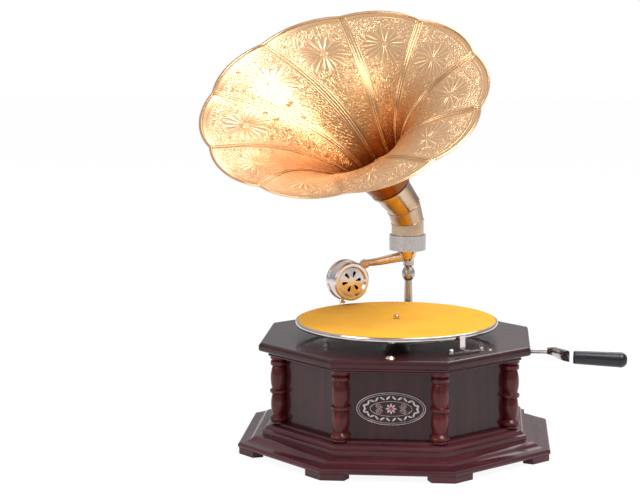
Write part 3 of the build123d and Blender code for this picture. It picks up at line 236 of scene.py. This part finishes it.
def embossed_brass(name, colour, deep):
    """The horn's brass: a large rosette on each petal, small flowers round it and lines along the edges.

    The map "petal" gives the place on a petal and "edge" the distances to its seams and to the rim, all in decimetres.
    """
    finish = Finish(name, colour, metallic=1.0, roughness=0.22)
    petal = finish.node("ShaderNodeUVMap", uv_map="petal")
    edge = finish.node("ShaderNodeUVMap", uv_map="edge")
    on_petal = finish.node("ShaderNodeSeparateXYZ")
    finish.link(petal.outputs["UV"], on_petal.inputs[0])
    to_edge = finish.node("ShaderNodeSeparateXYZ")
    finish.link(edge.outputs["UV"], to_edge.inputs[0])
    across, along = on_petal.outputs[0], on_petal.outputs[1]
    to_seam, to_rim = to_edge.outputs[0], to_edge.outputs[1]

    # Large rosette, centred 62 mm below the rim
    up = finish.math("SUBTRACT", to_rim, 0.62)
    reach = finish.math("SQRT", finish.math(
        "ADD", finish.math("MULTIPLY", across, across), finish.math("MULTIPLY", up, up)))
    angle = finish.math("ARCTAN2", up, across)
    rays = finish.math("COSINE", finish.math("MULTIPLY", angle, 18.0))
    lobes = finish.math("COSINE", finish.math("MULTIPLY", angle, 9.0))
    edge_of_rosette = finish.math("ADD", 0.29, finish.math("MULTIPLY", lobes, 0.035))
    inside = finish.span(finish.math("SUBTRACT", edge_of_rosette, reach), -0.01, 0.02, 0.0, 1.0)
    centre = finish.span(reach, 0.035, 0.055, 1.0, 0.0)
    rosette = finish.math("MULTIPLY", finish.math("MAXIMUM", rays, centre), inside)

    # Small five-petalled flowers scattered over the rest
    scatter = finish.node("ShaderNodeTexVoronoi")
    scatter.inputs["Scale"].default_value = 7.0
    scatter.inputs["Randomness"].default_value = 0.75
    finish.link(petal.outputs["UV"], scatter.inputs["Vector"])
    offset = finish.node("ShaderNodeVectorMath", operation="SUBTRACT")
    scaled = finish.node("ShaderNodeVectorMath", operation="SCALE")
    scaled.inputs["Scale"].default_value = 1.0
    finish.link(petal.outputs["UV"], scaled.inputs[0])
    finish.link(scaled.outputs[0], offset.inputs[0])
    finish.link(scatter.outputs["Position"], offset.inputs[1])
    local = finish.node("ShaderNodeSeparateXYZ")
    finish.link(offset.outputs[0], local.inputs[0])
    turn = finish.math("ARCTAN2", local.outputs[1], local.outputs[0])
    five = finish.math("COSINE", finish.math("MULTIPLY", turn, 5.0))
    size = finish.math("ADD", 0.34, finish.math("MULTIPLY", five, 0.12))
    flower = finish.span(finish.math("SUBTRACT", size, scatter.outputs["Distance"]), 0.0, 0.10, 0.0, 1.0)
    veins = finish.math("MULTIPLY", finish.math("ABSOLUTE", finish.math(
        "COSINE", finish.math("MULTIPLY", turn, 12.5))), flower)

    # Leafy filigree between the flowers
    weave = finish.node("ShaderNodeTexVoronoi", feature="DISTANCE_TO_EDGE")
    weave.inputs["Scale"].default_value = 26.0
    finish.link(petal.outputs["UV"], weave.inputs["Vector"])
    filigree = finish.span(weave.outputs["Distance"], 0.02, 0.16, 1.0, 0.0)
    ground = finish.math("MULTIPLY", filigree, finish.math("SUBTRACT", 1.0, flower))
    field = finish.math("ADD", finish.math("MULTIPLY", veins, 0.45), finish.math("MULTIPLY", ground, 0.6))
    outside = finish.math("MULTIPLY", finish.math("SUBTRACT", 1.0, inside), field)

    # Plain margins with a line along each: the rim's and the seams'
    margin = finish.math("MULTIPLY", finish.span(to_rim, 0.13, 0.15, 0.0, 1.0), finish.span(to_seam, 0.055, 0.07, 0.0, 1.0))
    rim_line = finish.math("SUBTRACT", 1.0, finish.span(
        finish.math("ABSOLUTE", finish.math("SUBTRACT", to_rim, 0.115)), 0.006, 0.012, 0.0, 1.0))
    seam_line = finish.math("SUBTRACT", 1.0, finish.span(
        finish.math("ABSOLUTE", finish.math("SUBTRACT", to_seam, 0.05)), 0.004, 0.009, 0.0, 1.0))
    deep_fade = finish.span(along, 0.25, 0.7, 0.35, 1.0)
    pattern = finish.math("MULTIPLY", finish.math("MULTIPLY", finish.math("ADD", rosette, outside), margin), deep_fade)
    lines = finish.math("MULTIPLY", finish.math("MAXIMUM", rim_line, seam_line), 0.6)
    dents = finish.noise(finish.place((1, 1, 1)), 9.0, 2.0)
    height = finish.math("ADD", finish.math("ADD", pattern, lines), finish.math("MULTIPLY", dents, 2.2))
    finish.bump(height, 0.00050, 0.85)

    # Painted shade: the brass colour darkens along the horn towards the throat, where its walls shade it, with noise to
    # break the edge
    warm = finish.noise(finish.place((1, 1, 1)), 12.0, 3.0, 0.5)
    depth = finish.math("ADD", along, finish.math("MULTIPLY", finish.math("SUBTRACT", warm, 0.5), 0.5))
    metal = finish.ramp(
        finish.span(depth, 0.0, 2.1, 0.0, 1.0),
        (0.0, deep), (0.22, (0.40, 0.15, 0.045, 1.0)), (0.55, (0.78, 0.45, 0.21, 1.0)), (1.0, tint(colour, 1.04)))
    shade = finish.node("ShaderNodeMix", data_type="RGBA", blend_type="MULTIPLY")
    finish.link(finish.math("MULTIPLY", finish.math("SUBTRACT", 1.0, pattern), 0.75), shade.inputs[0])
    finish.link(metal, shade.inputs[6])
    shade.inputs[7].default_value = (0.86, 0.78, 0.70, 1.0)
    finish.colour(shade.outputs[2])
    finish.roughness(finish.math(
        "ADD", finish.span(warm, 0.3, 0.7, 0.24, 0.32), finish.math("MULTIPLY", pattern, 0.06)))
    return finish.material


def wool_felt(name, colour):
    """Short felt: matted fibres, soft sheen and slight patches."""
    finish = Finish(name, colour, roughness=1.0, sheen_weight=0.06, sheen_roughness=0.5, specular_ior_level=0.1)
    fibres = finish.noise(finish.place((1, 1, 1)), 1400.0, 3.0, 1.2)
    patches = finish.noise(finish.place((1, 1, 1)), 22.0, 3.0)
    both = finish.math("ADD", finish.math("MULTIPLY", fibres, 0.5), finish.math("MULTIPLY", patches, 0.5))
    finish.colour(finish.ramp(both, (0.32, tint(colour, 0.86)), (0.52, colour), (0.70, tint(colour, 1.08))))
    finish.bump(fibres, 0.00035, 0.6)
    return finish.material


def painted(name, colour, rough=0.5, metallic=0.0, grain=300.0):
    """Dull paint, rubber, hide, bare iron or lacquer, told apart by their numbers."""
    finish = Finish(name, colour, roughness=rough, metallic=metallic)
    speck = finish.noise(finish.place((1, 1, 1)), grain, 3.0)
    cloud = finish.noise(finish.place((1, 1, 1)), 25.0, 2.0)
    finish.colour(finish.ramp(cloud, (0.3, tint(colour, 0.8)), (0.7, tint(colour, 1.2))))
    finish.roughness(finish.span(speck, 0.3, 0.7, rough * 0.8, min(1.0, rough * 1.25)))
    finish.bump(speck, 0.0001, 0.3)
    return finish.material


def give(material, *names):
    """Put a material on carried-over nodes."""
    for name in names:
        data = NODES[name].data
        data.materials.clear()
        data.materials.append(material)


# Mesh helpers

def piece_from(bm, name, material, body, smooth=True):
    """Finish a mesh as a piece of its own that rides on a body."""
    mesh = bpy.data.meshes.new(name)
    for face in bm.faces:
        face.smooth = smooth
    bm.to_mesh(mesh)
    bm.free()
    piece = bpy.data.objects.new(name, mesh)
    bpy.context.scene.collection.objects.link(piece)
    piece.data.materials.append(material)
    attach(piece, body)
    return piece


def sweep(bm, path, radius, sides=8, closed=False):
    """Draw a round section along a path, turning it with the path."""
    count = len(path)
    tangents = []
    for i in range(count):
        if closed:
            step = path[(i + 1) % count] - path[i - 1]
        else:
            step = path[min(i + 1, count - 1)] - path[max(i - 1, 0)]
        tangents.append(step.normalized())
    start = Matrix.Translation(path[0]) @ tangents[0].to_track_quat("Z", "Y").to_matrix().to_4x4()
    ring = bmesh.ops.create_circle(bm, segments=sides, radius=radius, matrix=start)["verts"]
    first = [edge for edge in bm.edges if edge.verts[0] in ring and edge.verts[1] in ring]
    edges = first
    for i in range(1, count):
        grown = bmesh.ops.extrude_edge_only(bm, edges=edges)["geom"]
        verts = [item for item in grown if isinstance(item, bmesh.types.BMVert)]
        turn = tangents[i - 1].rotation_difference(tangents[i]).to_matrix()
        bmesh.ops.rotate(bm, verts=verts, cent=path[i - 1], matrix=turn)
        bmesh.ops.translate(bm, verts=verts, vec=path[i] - path[i - 1])
        held = set(verts)
        edges = [item for item in grown if isinstance(item, bmesh.types.BMEdge)
                 and item.verts[0] in held and item.verts[1] in held]
    if closed:
        bmesh.ops.bridge_loops(bm, edges=edges + first)
    else:
        bmesh.ops.edgeloop_fill(bm, edges=first)
        bmesh.ops.edgeloop_fill(bm, edges=edges)


def finish_normals(bm):
    bmesh.ops.recalc_face_normals(bm, faces=bm.faces)


# The horn's form

def through(table, column, value):
    """A smooth value between the rings of the bell, by their radius."""
    for i in range(len(table) - 1):
        if value <= table[i + 1][0] or i == len(table) - 2:
            break
    before, low, high, after = (table[max(i - 1, 0)], table[i], table[i + 1], table[min(i + 2, len(table) - 1)])
    width = high[0] - low[0]
    share = (value - low[0]) / width
    slope_low = (high[column] - before[column]) / (high[0] - before[0])
    slope_high = (after[column] - low[column]) / (after[0] - low[0])
    s2, s3 = share * share, share ** 3
    return (
        (2 * s3 - 3 * s2 + 1) * low[column] + (s3 - 2 * s2 + share) * width * slope_low
        + (3 * s2 - 2 * s3) * high[column] + (s3 - s2) * width * slope_high
    )


def heading(azimuth, elevation):
    """Unit vector: azimuth turns from -Y towards +X, elevation rises from level."""
    level = cos(radians(elevation))
    return Vector((sin(radians(azimuth)) * level, -cos(radians(azimuth)) * level, sin(radians(elevation))))


MOUTH_WAY = heading(-11.8, 53.8)
THROAT_WAY = heading(-40.0, 52.0)
SPINE = (MOUTH - THROAT).length


def bell_point(radius, angle, lift=0.0):
    """A point of the bell's inside, by its ring's radius and its angle in turns; lift raises it off the metal."""
    depth = through(BELL, 1, radius)
    bulge = through(BELL, 2, radius)
    share = 1 - depth / BELL_DEPTH
    rest = 1 - share
    p0, p3 = THROAT, MOUTH
    p1 = p0 + THROAT_WAY * SPINE * HANDLE
    p2 = p3 - MOUTH_WAY * SPINE * HANDLE
    centre = p0 * rest ** 3 + p1 * 3 * rest ** 2 * share + p2 * 3 * rest * share ** 2 + p3 * share ** 3
    way = ((p1 - p0) * 3 * rest ** 2 + (p2 - p1) * 6 * rest * share + (p3 - p2) * 3 * share ** 2).normalized()
    side = Vector((0, 0, 1)).cross(way).normalized()
    up = way.cross(side)
    on_petal = (angle * PETALS) % 1.0 * 2 - 1
    reach = radius * (1 + bulge * (1 - on_petal * on_petal)) - lift
    turn = radians(MOUTH_PHASE) + 2 * pi * angle
    return (centre + side * reach * cos(turn) + up * reach * sin(turn) + way * lift) * MM


def bell_radius(share):
    """Ring radius for a share of the way from throat to rim, closer together in the throat."""
    return BELL[0][0] + (BELL[-1][0] - BELL[0][0]) * share ** 1.35


class GRAMOPHONE_OT_horn_bell(bpy.types.Operator):
    """Make the ten-petalled bell with its maps for the embossing"""
    bl_idname = "gramophone.horn_bell"
    bl_label = "Horn bell"

    def execute(self, context):
        sizes, colours = context.scene.gramophone_sizes, context.scene.gramophone_finish
        around, along = PETALS * 16, 44
        bm = bmesh.new()
        bmesh.ops.create_grid(bm, x_segments=around, y_segments=along, size=0.5)
        low = min(v.co.x for v in bm.verts)
        high = max(v.co.x for v in bm.verts)
        rows = {}
        length, before = 0.0, None
        for j in range(along + 1):
            here = bell_point(bell_radius(j / along), 0.05)
            length += (here - before).length if before else 0.0
            rows[j] = length
            before = here
        petal = bm.loops.layers.uv.new("petal")
        edge = bm.loops.layers.uv.new("edge")
        for face in bm.faces:
            middle = (face.calc_center_median().x - low) / (high - low)
            centre_line = (int(middle * PETALS) + 0.5) / PETALS
            for loop in face.loops:
                turn = (loop.vert.co.x - low) / (high - low)
                row = round((loop.vert.co.y - low) / (high - low) * along)
                girth = 2 * pi * bell_radius(row / along) * MM
                across = (turn - centre_line) * girth * 10
                loop[petal].uv = (across, rows[row] * 10)
                loop[edge].uv = (girth * 10 * 0.5 / PETALS - abs(across), (rows[along] - rows[row]) * 10)
        for vert in bm.verts:
            turn = (vert.co.x - low) / (high - low)
            share = (vert.co.y - low) / (high - low)
            vert.co = bell_point(bell_radius(share), min(turn, 0.9999999))
        bmesh.ops.remove_doubles(bm, verts=bm.verts, dist=1e-6)
        finish_normals(bm)
        middle = bell_point(100, 0.5) - bell_point(100, 0.0)
        face = min(bm.faces, key=lambda f: (f.calc_center_median() - bell_point(100, 0.05)).length)
        outward = face.calc_center_median() - (bell_point(100, 0.0) + middle / 2)
        if face.normal.dot(outward) < 0:
            bmesh.ops.reverse_faces(bm, faces=bm.faces)
        material = embossed_brass("Embossed brass", colours.brass, colours.brass_throat_shade)
        bell = piece_from(bm, "bell_sheet", material, "horn")
        wall = bell.modifiers.new("Sheet", "SOLIDIFY")
        wall.thickness = sizes.sheet_metal
        wall.offset = 1.0
        wall.use_even_offset = True
        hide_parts("horn_bell")
        return {"FINISHED"}


class GRAMOPHONE_OT_horn_seams(bpy.types.Operator):
    """Lay the double ridges along the petal seams and roll the wire into the rim"""
    bl_idname = "gramophone.horn_seams"
    bl_label = "Horn seams and rim"

    def execute(self, context):
        sizes, colours = context.scene.gramophone_sizes, context.scene.gramophone_finish
        bm = bmesh.new()
        for i in range(PETALS):
            for side in (-1, 1):
                path = []
                for j in range(40):
                    radius = bell_radius(0.03 + 0.955 * j / 39)
                    apart = side * sizes.seam_gap / MM * min(1.0, 0.45 + radius / 150)
                    path.append(bell_point(radius, (i / PETALS + apart / (2 * pi * radius)) % 1.0, 0.1))
                sweep(bm, path, sizes.seam_ridge, 6)
        finish_normals(bm)
        brass = sheet_brass("Seam brass", tint(colours.brass, 0.94), tint(colours.brass, 0.7))
        seams = piece_from(bm, "petal_seams", brass, "horn")

        bm = bmesh.new()
        path = [bell_point(BELL[-1][0] - 2.0, i / 240, 0.0) for i in range(240)]
        sweep(bm, path, sizes.rim_wire, 8, closed=True)
        finish_normals(bm)
        rim = piece_from(bm, "rim_wire", brass, "horn")
        return {"FINISHED"}


class GRAMOPHONE_OT_elbow(bpy.types.Operator):
    """Finish the elbow and throat, with the raised joints between the elbow's lengths"""
    bl_idname = "gramophone.elbow"
    bl_label = "Horn elbow"

    def execute(self, context):
        colours = context.scene.gramophone_finish
        brass = sheet_brass("Elbow brass", (0.66, 0.48, 0.34, 1.0), (0.44, 0.29, 0.18, 1.0))
        give(brass, "horn_elbow", "throat_band")
        joints = [
            ((8.0, 113.0, 268.0), heading(-40, 80), 21.5),
            ((3.0, 107.0, 289.5), heading(-40, 58), 22.5),
        ]
        bm = bmesh.new()
        for centre, way, radius in joints:
            turn = way.to_track_quat("Z", "Y").to_matrix()
            ring = [
                (Vector(centre) + turn @ Vector((radius * cos(2 * pi * i / 64), radius * sin(2 * pi * i / 64), 0))) * MM
                for i in range(64)
            ]
            sweep(bm, ring, 0.8 * MM, 8, closed=True)
        finish_normals(bm)
        beads = piece_from(bm, "elbow_joints", brass, "horn")
        return {"FINISHED"}


class GRAMOPHONE_OT_felt_mat(bpy.types.Operator):
    """Make the felt mat with its soft edge and centre hole"""
    bl_idname = "gramophone.felt_mat"
    bl_label = "Felt mat"

    def execute(self, context):
        sizes, colours = context.scene.gramophone_sizes, context.scene.gramophone_finish
        low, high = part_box("felt_mat")
        centre = (Vector(low) + Vector(high)) / 2
        outer = (high[0] - low[0]) / 2
        inner = 4.4 * MM
        top, base = high[2], high[2] - sizes.felt_pile
        profile = [
            (inner, base), (inner, top - 0.3 * MM), (inner + 0.4 * MM, top), (outer * 0.5, top),
            (outer - 1.0 * MM, top), (outer - 0.3 * MM, top - 0.2 * MM), (outer, top - 0.7 * MM), (outer, base),
        ]
        bm = bmesh.new()
        verts = [bm.verts.new((centre.x + reach, centre.y, z)) for reach, z in profile]
        edges = [bm.edges.new(verts[i:i + 2]) for i in range(len(verts) - 1)]
        edges.append(bm.edges.new((verts[-1], verts[0])))
        bmesh.ops.spin(
            bm, geom=verts + edges, cent=(centre.x, centre.y, 0), axis=(0, 0, 1), angle=2 * pi,
            steps=160, use_merge=True)
        bmesh.ops.remove_doubles(bm, verts=bm.verts, dist=1e-6)
        finish_normals(bm)
        felt = piece_from(bm, "felt_disc", wool_felt("Golden felt", colours.felt), "turntable")
        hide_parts("felt_mat")
        return {"FINISHED"}


def oval(width, height, turn):
    """A point on an oval of the front badge's plane."""
    return Vector((1.0 * MM + width * cos(turn), 0.0, 75.5 * MM + height * sin(turn)))


class GRAMOPHONE_OT_ornament(bpy.types.Operator):
    """Dress the front oval with a raised rim, a ring of leaves, scrolls and a small rosette"""
    bl_idname = "gramophone.ornament"
    bl_label = "Front ornament"

    def execute(self, context):
        colours = context.scene.gramophone_finish
        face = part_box("front_emblem")[0][1]
        give(lacquered_wood("Ornament ground", tint(colours.mahogany, 0.9), (30, 30, 30)), "front_emblem")
        silver = plated("Ornament silver", (0.62, 0.55, 0.55, 1.0), 0.3)
        bm = bmesh.new()
        for width, height, thick in ((41.0, 19.6, 0.55), (38.6, 17.4, 0.3), (25.0, 9.0, 0.35)):
            path = [oval(width * MM, height * MM, 2 * pi * i / 96) + Vector((0, face, 0)) for i in range(96)]
            sweep(bm, path, thick * MM, 6, closed=True)
        for i in range(28):
            turn = 2 * pi * (i + 0.5) / 28
            at = oval(32.0 * MM, 13.2 * MM, turn) + Vector((0, face, 0))
            ahead = oval(32.0 * MM, 13.2 * MM, turn + 0.1) + Vector((0, face, 0))
            lean = atan2(ahead.z - at.z, ahead.x - at.x) + (0.7 if i % 2 else -0.7)
            shape = (Matrix.Translation(at) @ Matrix.Rotation(-lean, 4, "Y")
                     @ Matrix.Diagonal((3.4 * MM, 0.45 * MM, 1.2 * MM, 1)))
            bmesh.ops.create_icosphere(bm, subdivisions=2, radius=1.0, matrix=shape)
        for side in (-1, 1):
            for flip in (-1, 1):
                path = []
                for j in range(26):
                    turn = j / 25 * 3.6 * pi
                    reach = (4.4 - 3.4 * j / 25) * MM
                    path.append(Vector((
                        1.0 * MM + side * (14.5 * MM - reach * cos(turn)), face,
                        75.5 * MM + flip * (3.4 * MM - reach * sin(turn) * 0.75))))
                sweep(bm, path, 0.32 * MM, 6)
        for i in range(8):
            turn = 2 * pi * i / 8
            at = Vector((1.0 * MM + 4.2 * MM * cos(turn), face, 75.5 * MM + 4.2 * MM * sin(turn)))
            shape = (Matrix.Translation(at) @ Matrix.Rotation(-turn, 4, "Y")
                     @ Matrix.Diagonal((2.5 * MM, 0.6 * MM, 1.25 * MM, 1)))
            bmesh.ops.create_icosphere(bm, subdivisions=2, radius=1.0, matrix=shape)
        finish_normals(bm)
        relief = piece_from(bm, "ornament_relief", silver, "case")

        bm = bmesh.new()
        for x, z, size in ((0, 0, 1.9), (-14.5, 3.4, 1.1), (14.5, 3.4, 1.1), (-14.5, -3.4, 1.1), (14.5, -3.4, 1.1)):
            at = Matrix.Translation((1.0 * MM + x * MM, face, 75.5 * MM + z * MM))
            bmesh.ops.create_icosphere(
                bm, subdivisions=2, radius=1.0, matrix=at @ Matrix.Diagonal((size * MM, 0.8 * MM, size * MM, 1)))
        finish_normals(bm)
        red = painted("Red enamel", (0.55, 0.03, 0.02, 1.0), 0.25)
        beads = piece_from(bm, "ornament_enamel", red, "case")
        return {"FINISHED"}


class GRAMOPHONE_OT_woodwork(bpy.types.Operator):
    """Give the case its lacquered mahogany"""
    bl_idname = "gramophone.woodwork"
    bl_label = "Woodwork"

    def execute(self, context):
        colours = context.scene.gramophone_finish
        give(lacquered_wood("Panel mahogany", colours.mahogany, (120, 120, 9)), "case_panels")
        give(lacquered_wood("Board mahogany", tint(colours.mahogany, 0.9), (9, 130, 60)), "top_board", "bottom_board")
        # The moulded pieces get dark mahogany with a painted lavender reflection in its colour
        give(lacquered_wood("Moulded mahogany with painted reflection", colours.plinth_mahogany_and_reflection, (10, 10, 220)),
             "plinth_moulding", "cornice_moulding", "corner_feet")
        give(lacquered_wood("Turned mahogany", tint(colours.mahogany_red, 0.8), (160, 160, 14)), "corner_columns")
        return {"FINISHED"}


class GRAMOPHONE_OT_metalwork(bpy.types.Operator):
    """Give the fittings their nickel, steel, rubber and lacquer"""
    bl_idname = "gramophone.metalwork"
    bl_label = "Metalwork"

    def execute(self, context):
        colours = context.scene.gramophone_finish
        nickel = plated("Nickel plate", colours.nickel)
        give(nickel, "board_bolts", "crank_escutcheon", "brake_base", "brake_screws", "brake_lever", "brake_knob",
             "platter", "spindle", "arm_keeper", "regulator_screw")
        give(plated("Stand nickel", tint(colours.nickel, 0.76), 0.22), "horn_post", "horn_ring", "stand_screws")
        give(plated("Crank nickel", tint(colours.nickel, 0.92), 0.24), "crank_handle")
        give(plated("Sound box chrome", tint(colours.nickel, 1.10), 0.16),
             "sound_box_shell", "sound_box_front", "needle_screw", "needle_bar")
        give(sheet_brass("Arm brass", (0.88, 0.66, 0.47, 1.0), (0.66, 0.45, 0.29, 1.0)),
             "tone_arm", "swivel_collar", "gooseneck")
        give(painted("Black lacquered grip", (0.006, 0.006, 0.012, 1.0), 0.3, 0.0, 90.0), "crank_grip")
        give(painted("Black rubber", (0.02, 0.02, 0.02, 1.0), 0.8), "diaphragm_gaskets", "rubber_hangers")
        # Partly painted shade: the mica's own dark tone is deepened to near black so the slots in the sound box front
        # read dark, as the shade inside the box makes them
        give(painted("Mica in painted slot shade", (0.012, 0.010, 0.010, 1.0), 0.7), "diaphragm")
        give(painted("Needle steel", (0.5, 0.5, 0.52, 1.0), 0.3, 1.0), "needle")
        return {"FINISHED"}


class GRAMOPHONE_OT_motor(bpy.types.Operator):
    """Give the motor inside the case its iron, steel, brass and lead"""
    bl_idname = "gramophone.motor"
    bl_label = "Motor"

    def execute(self, context):
        colours = context.scene.gramophone_finish
        give(painted("Motor iron", (0.035, 0.035, 0.04, 1.0), 0.55), "motor_top_plate", "motor_bottom_plate",
             "plate_pillars", "governor_bearings", "crank_bearing", "spring_barrel", "barrel_cover")
        give(painted("Motor steel", (0.45, 0.45, 0.47, 1.0), 0.32, 1.0), "mainspring", "second_arbor",
             "governor_shaft", "governor_springs", "winding_shaft", "barrel_arbor", "ratchet_pawl", "regulator_lever")
        give(sheet_brass("Wheel brass", tint(colours.brass, 0.9), tint(colours.brass, 0.7)),
             "second_wheel", "worm_wheel", "crown_wheel", "governor_disc")
        give(painted("Cast lead", (0.16, 0.165, 0.175, 1.0), 0.6, 0.6), "governor_weights")
        return {"FINISHED"}


class GRAMOPHONE_OT_brake_pad(bpy.types.Operator):
    """Make the brake's leather pad with rounded edges"""
    bl_idname = "gramophone.brake_pad"
    bl_label = "Brake pad"

    def execute(self, context):
        source = NODES["brake_pad"]
        bm = bmesh.new()
        bm.from_mesh(source.data)
        bmesh.ops.remove_doubles(bm, verts=bm.verts, dist=1e-6)
        bmesh.ops.dissolve_limit(bm, angle_limit=radians(5), verts=bm.verts, edges=bm.edges)
        bmesh.ops.bevel(
            bm, geom=list(bm.edges), offset=0.5 * MM, segments=3, profile=0.5, affect="EDGES", material=-1)
        finish_normals(bm)
        hide = painted("Brown hide", (0.16, 0.075, 0.03, 1.0), 0.75, 0.0, 900.0)
        pad = piece_from(bm, "brake_hide", hide, "brake")
        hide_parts("brake_pad")
        return {"FINISHED"}


class GRAMOPHONE_OT_studio(bpy.types.Operator):
    """Set the floor, lamps, world and camera"""
    bl_idname = "gramophone.studio"
    bl_label = "Studio"

    def execute(self, context):
        scene = context.scene
        bm = bmesh.new()
        bmesh.ops.create_grid(bm, x_segments=1, y_segments=1, size=8.0)
        mesh = bpy.data.meshes.new("floor")
        bm.to_mesh(mesh)
        bm.free()
        floor = bpy.data.objects.new("floor", mesh)
        scene.collection.objects.link(floor)
        floor.location.z = -0.0002
        paper = Finish("Floor paper", (0.86, 0.86, 0.86, 1.0), roughness=0.9)
        glow = paper.node("ShaderNodeEmission")
        glow.inputs["Strength"].default_value = 1.05
        rays = paper.node("ShaderNodeLightPath")
        seen = paper.math("MULTIPLY", rays.outputs["Is Camera Ray"], 0.88)
        gloss = paper.math("MULTIPLY", rays.outputs["Is Glossy Ray"], 0.25)
        mix = paper.node("ShaderNodeMixShader")
        paper.link(paper.math("MAXIMUM", seen, gloss), mix.inputs[0])
        paper.link(paper.shader.outputs[0], mix.inputs[1])
        paper.link(glow.outputs[0], mix.inputs[2])
        paper.link(mix.outputs[0], paper.tree.nodes["Material Output"].inputs["Surface"])
        floor.data.materials.append(paper.material)

        world = bpy.data.worlds.new("Studio")
        world.use_nodes = True
        tree = world.node_tree
        dome = tree.nodes["Background"]
        coords = tree.nodes.new("ShaderNodeTexCoord")
        parts = tree.nodes.new("ShaderNodeSeparateXYZ")
        tree.links.new(coords.outputs["Generated"], parts.inputs[0])
        ramp = tree.nodes.new("ShaderNodeValToRGB")
        stops = [(0.0, 0.30), (0.50, 0.36), (0.60, 0.62), (0.75, 0.80), (1.0, 0.95)]
        while len(ramp.color_ramp.elements) < len(stops):
            ramp.color_ramp.elements.new(0.5)
        for mark, (place, level) in zip(ramp.color_ramp.elements, stops):
            mark.position = place
            mark.color = (level, level, level * 1.02, 1.0)
        half = tree.nodes.new("ShaderNodeMapRange")
        half.inputs[1].default_value = -1.0
        tree.links.new(parts.outputs[2], half.inputs[0])
        tree.links.new(half.outputs[0], ramp.inputs["Fac"])
        tree.links.new(ramp.outputs["Color"], dome.inputs["Color"])
        dome.inputs["Strength"].default_value = 0.75
        white = tree.nodes.new("ShaderNodeBackground")
        white.inputs["Color"].default_value = (1, 1, 1, 1)
        path = tree.nodes.new("ShaderNodeLightPath")
        mixed = tree.nodes.new("ShaderNodeMixShader")
        tree.links.new(path.outputs["Is Camera Ray"], mixed.inputs[0])
        tree.links.new(dome.outputs[0], mixed.inputs[1])
        tree.links.new(white.outputs[0], mixed.inputs[2])
        tree.links.new(mixed.outputs[0], tree.nodes["World Output"].inputs["Surface"])
        scene.world = world

        for name, place, size, power in (
            ("Key", (0.95, -0.75, 2.35), 1.2, 44.0),
            ("Fill", (-1.7, -1.6, 1.5), 1.2, 17.0),
            ("Back", (0.6, 1.7, 1.9), 1.4, 18.0),
        ):
            lamp = bpy.data.lights.new(name, "AREA")
            lamp.size = size
            lamp.energy = power
            held = bpy.data.objects.new(name, lamp)
            held.location = place
            held.rotation_euler = (Vector((0, 0, 0.25)) - Vector(place)).to_track_quat("-Z", "Y").to_euler()
            scene.collection.objects.link(held)

        eye = Vector((0.10965, -2.1165, 0.5512))
        camera = bpy.data.cameras.new("Camera")
        camera.lens = 95.74
        camera.sensor_width = 36.0
        held = bpy.data.objects.new("Camera", camera)
        look = (Vector((-0.0973, 0.0, 0.2451)) - eye).to_track_quat("-Z", "Y")
        roll = Matrix.Rotation(radians(-0.129), 4, "Z")
        held.matrix_world = Matrix.Translation(eye) @ look.to_matrix().to_4x4() @ roll
        scene.collection.objects.link(held)
        scene.camera = held
        scene.view_settings.view_transform = "Standard"
        return {"FINISHED"}


class GRAMOPHONE_PT_pieces(bpy.types.Panel):
    """The gramophone's pieces, in the order they are made"""
    bl_idname = "GRAMOPHONE_PT_pieces"
    bl_label = "Gramophone"
    bl_space_type = "VIEW_3D"
    bl_region_type = "UI"
    bl_category = "Gramophone"

    def draw(self, context):
        layout = self.layout
        for group in (context.scene.gramophone_finish, context.scene.gramophone_sizes):
            for name in group.bl_rna.properties.keys():
                if name not in ("rna_type", "name"):
                    layout.prop(group, name)
        for operator in OPERATORS:
            layout.operator(operator.bl_idname)


OPERATORS = (
    GRAMOPHONE_OT_woodwork, GRAMOPHONE_OT_metalwork, GRAMOPHONE_OT_motor, GRAMOPHONE_OT_horn_bell,
    GRAMOPHONE_OT_horn_seams, GRAMOPHONE_OT_elbow, GRAMOPHONE_OT_felt_mat, GRAMOPHONE_OT_brake_pad,
    GRAMOPHONE_OT_ornament, GRAMOPHONE_OT_studio,
)
CLASSES = (GramophoneFinish, GramophoneSizes) + OPERATORS + (GRAMOPHONE_PT_pieces,)


def register():
    for item in CLASSES:
        bpy.utils.register_class(item)
    bpy.types.Scene.gramophone_finish = bpy.props.PointerProperty(type=GramophoneFinish)
    bpy.types.Scene.gramophone_sizes = bpy.props.PointerProperty(type=GramophoneSizes)


def unregister():
    del bpy.types.Scene.gramophone_finish
    del bpy.types.Scene.gramophone_sizes
    for item in reversed(CLASSES):
        bpy.utils.unregister_class(item)


def main():
    register()
    for operator in OPERATORS:
        section, name = operator.bl_idname.split(".")
        getattr(getattr(bpy.ops, section), name)()


if __name__ == "__main__":
    main()
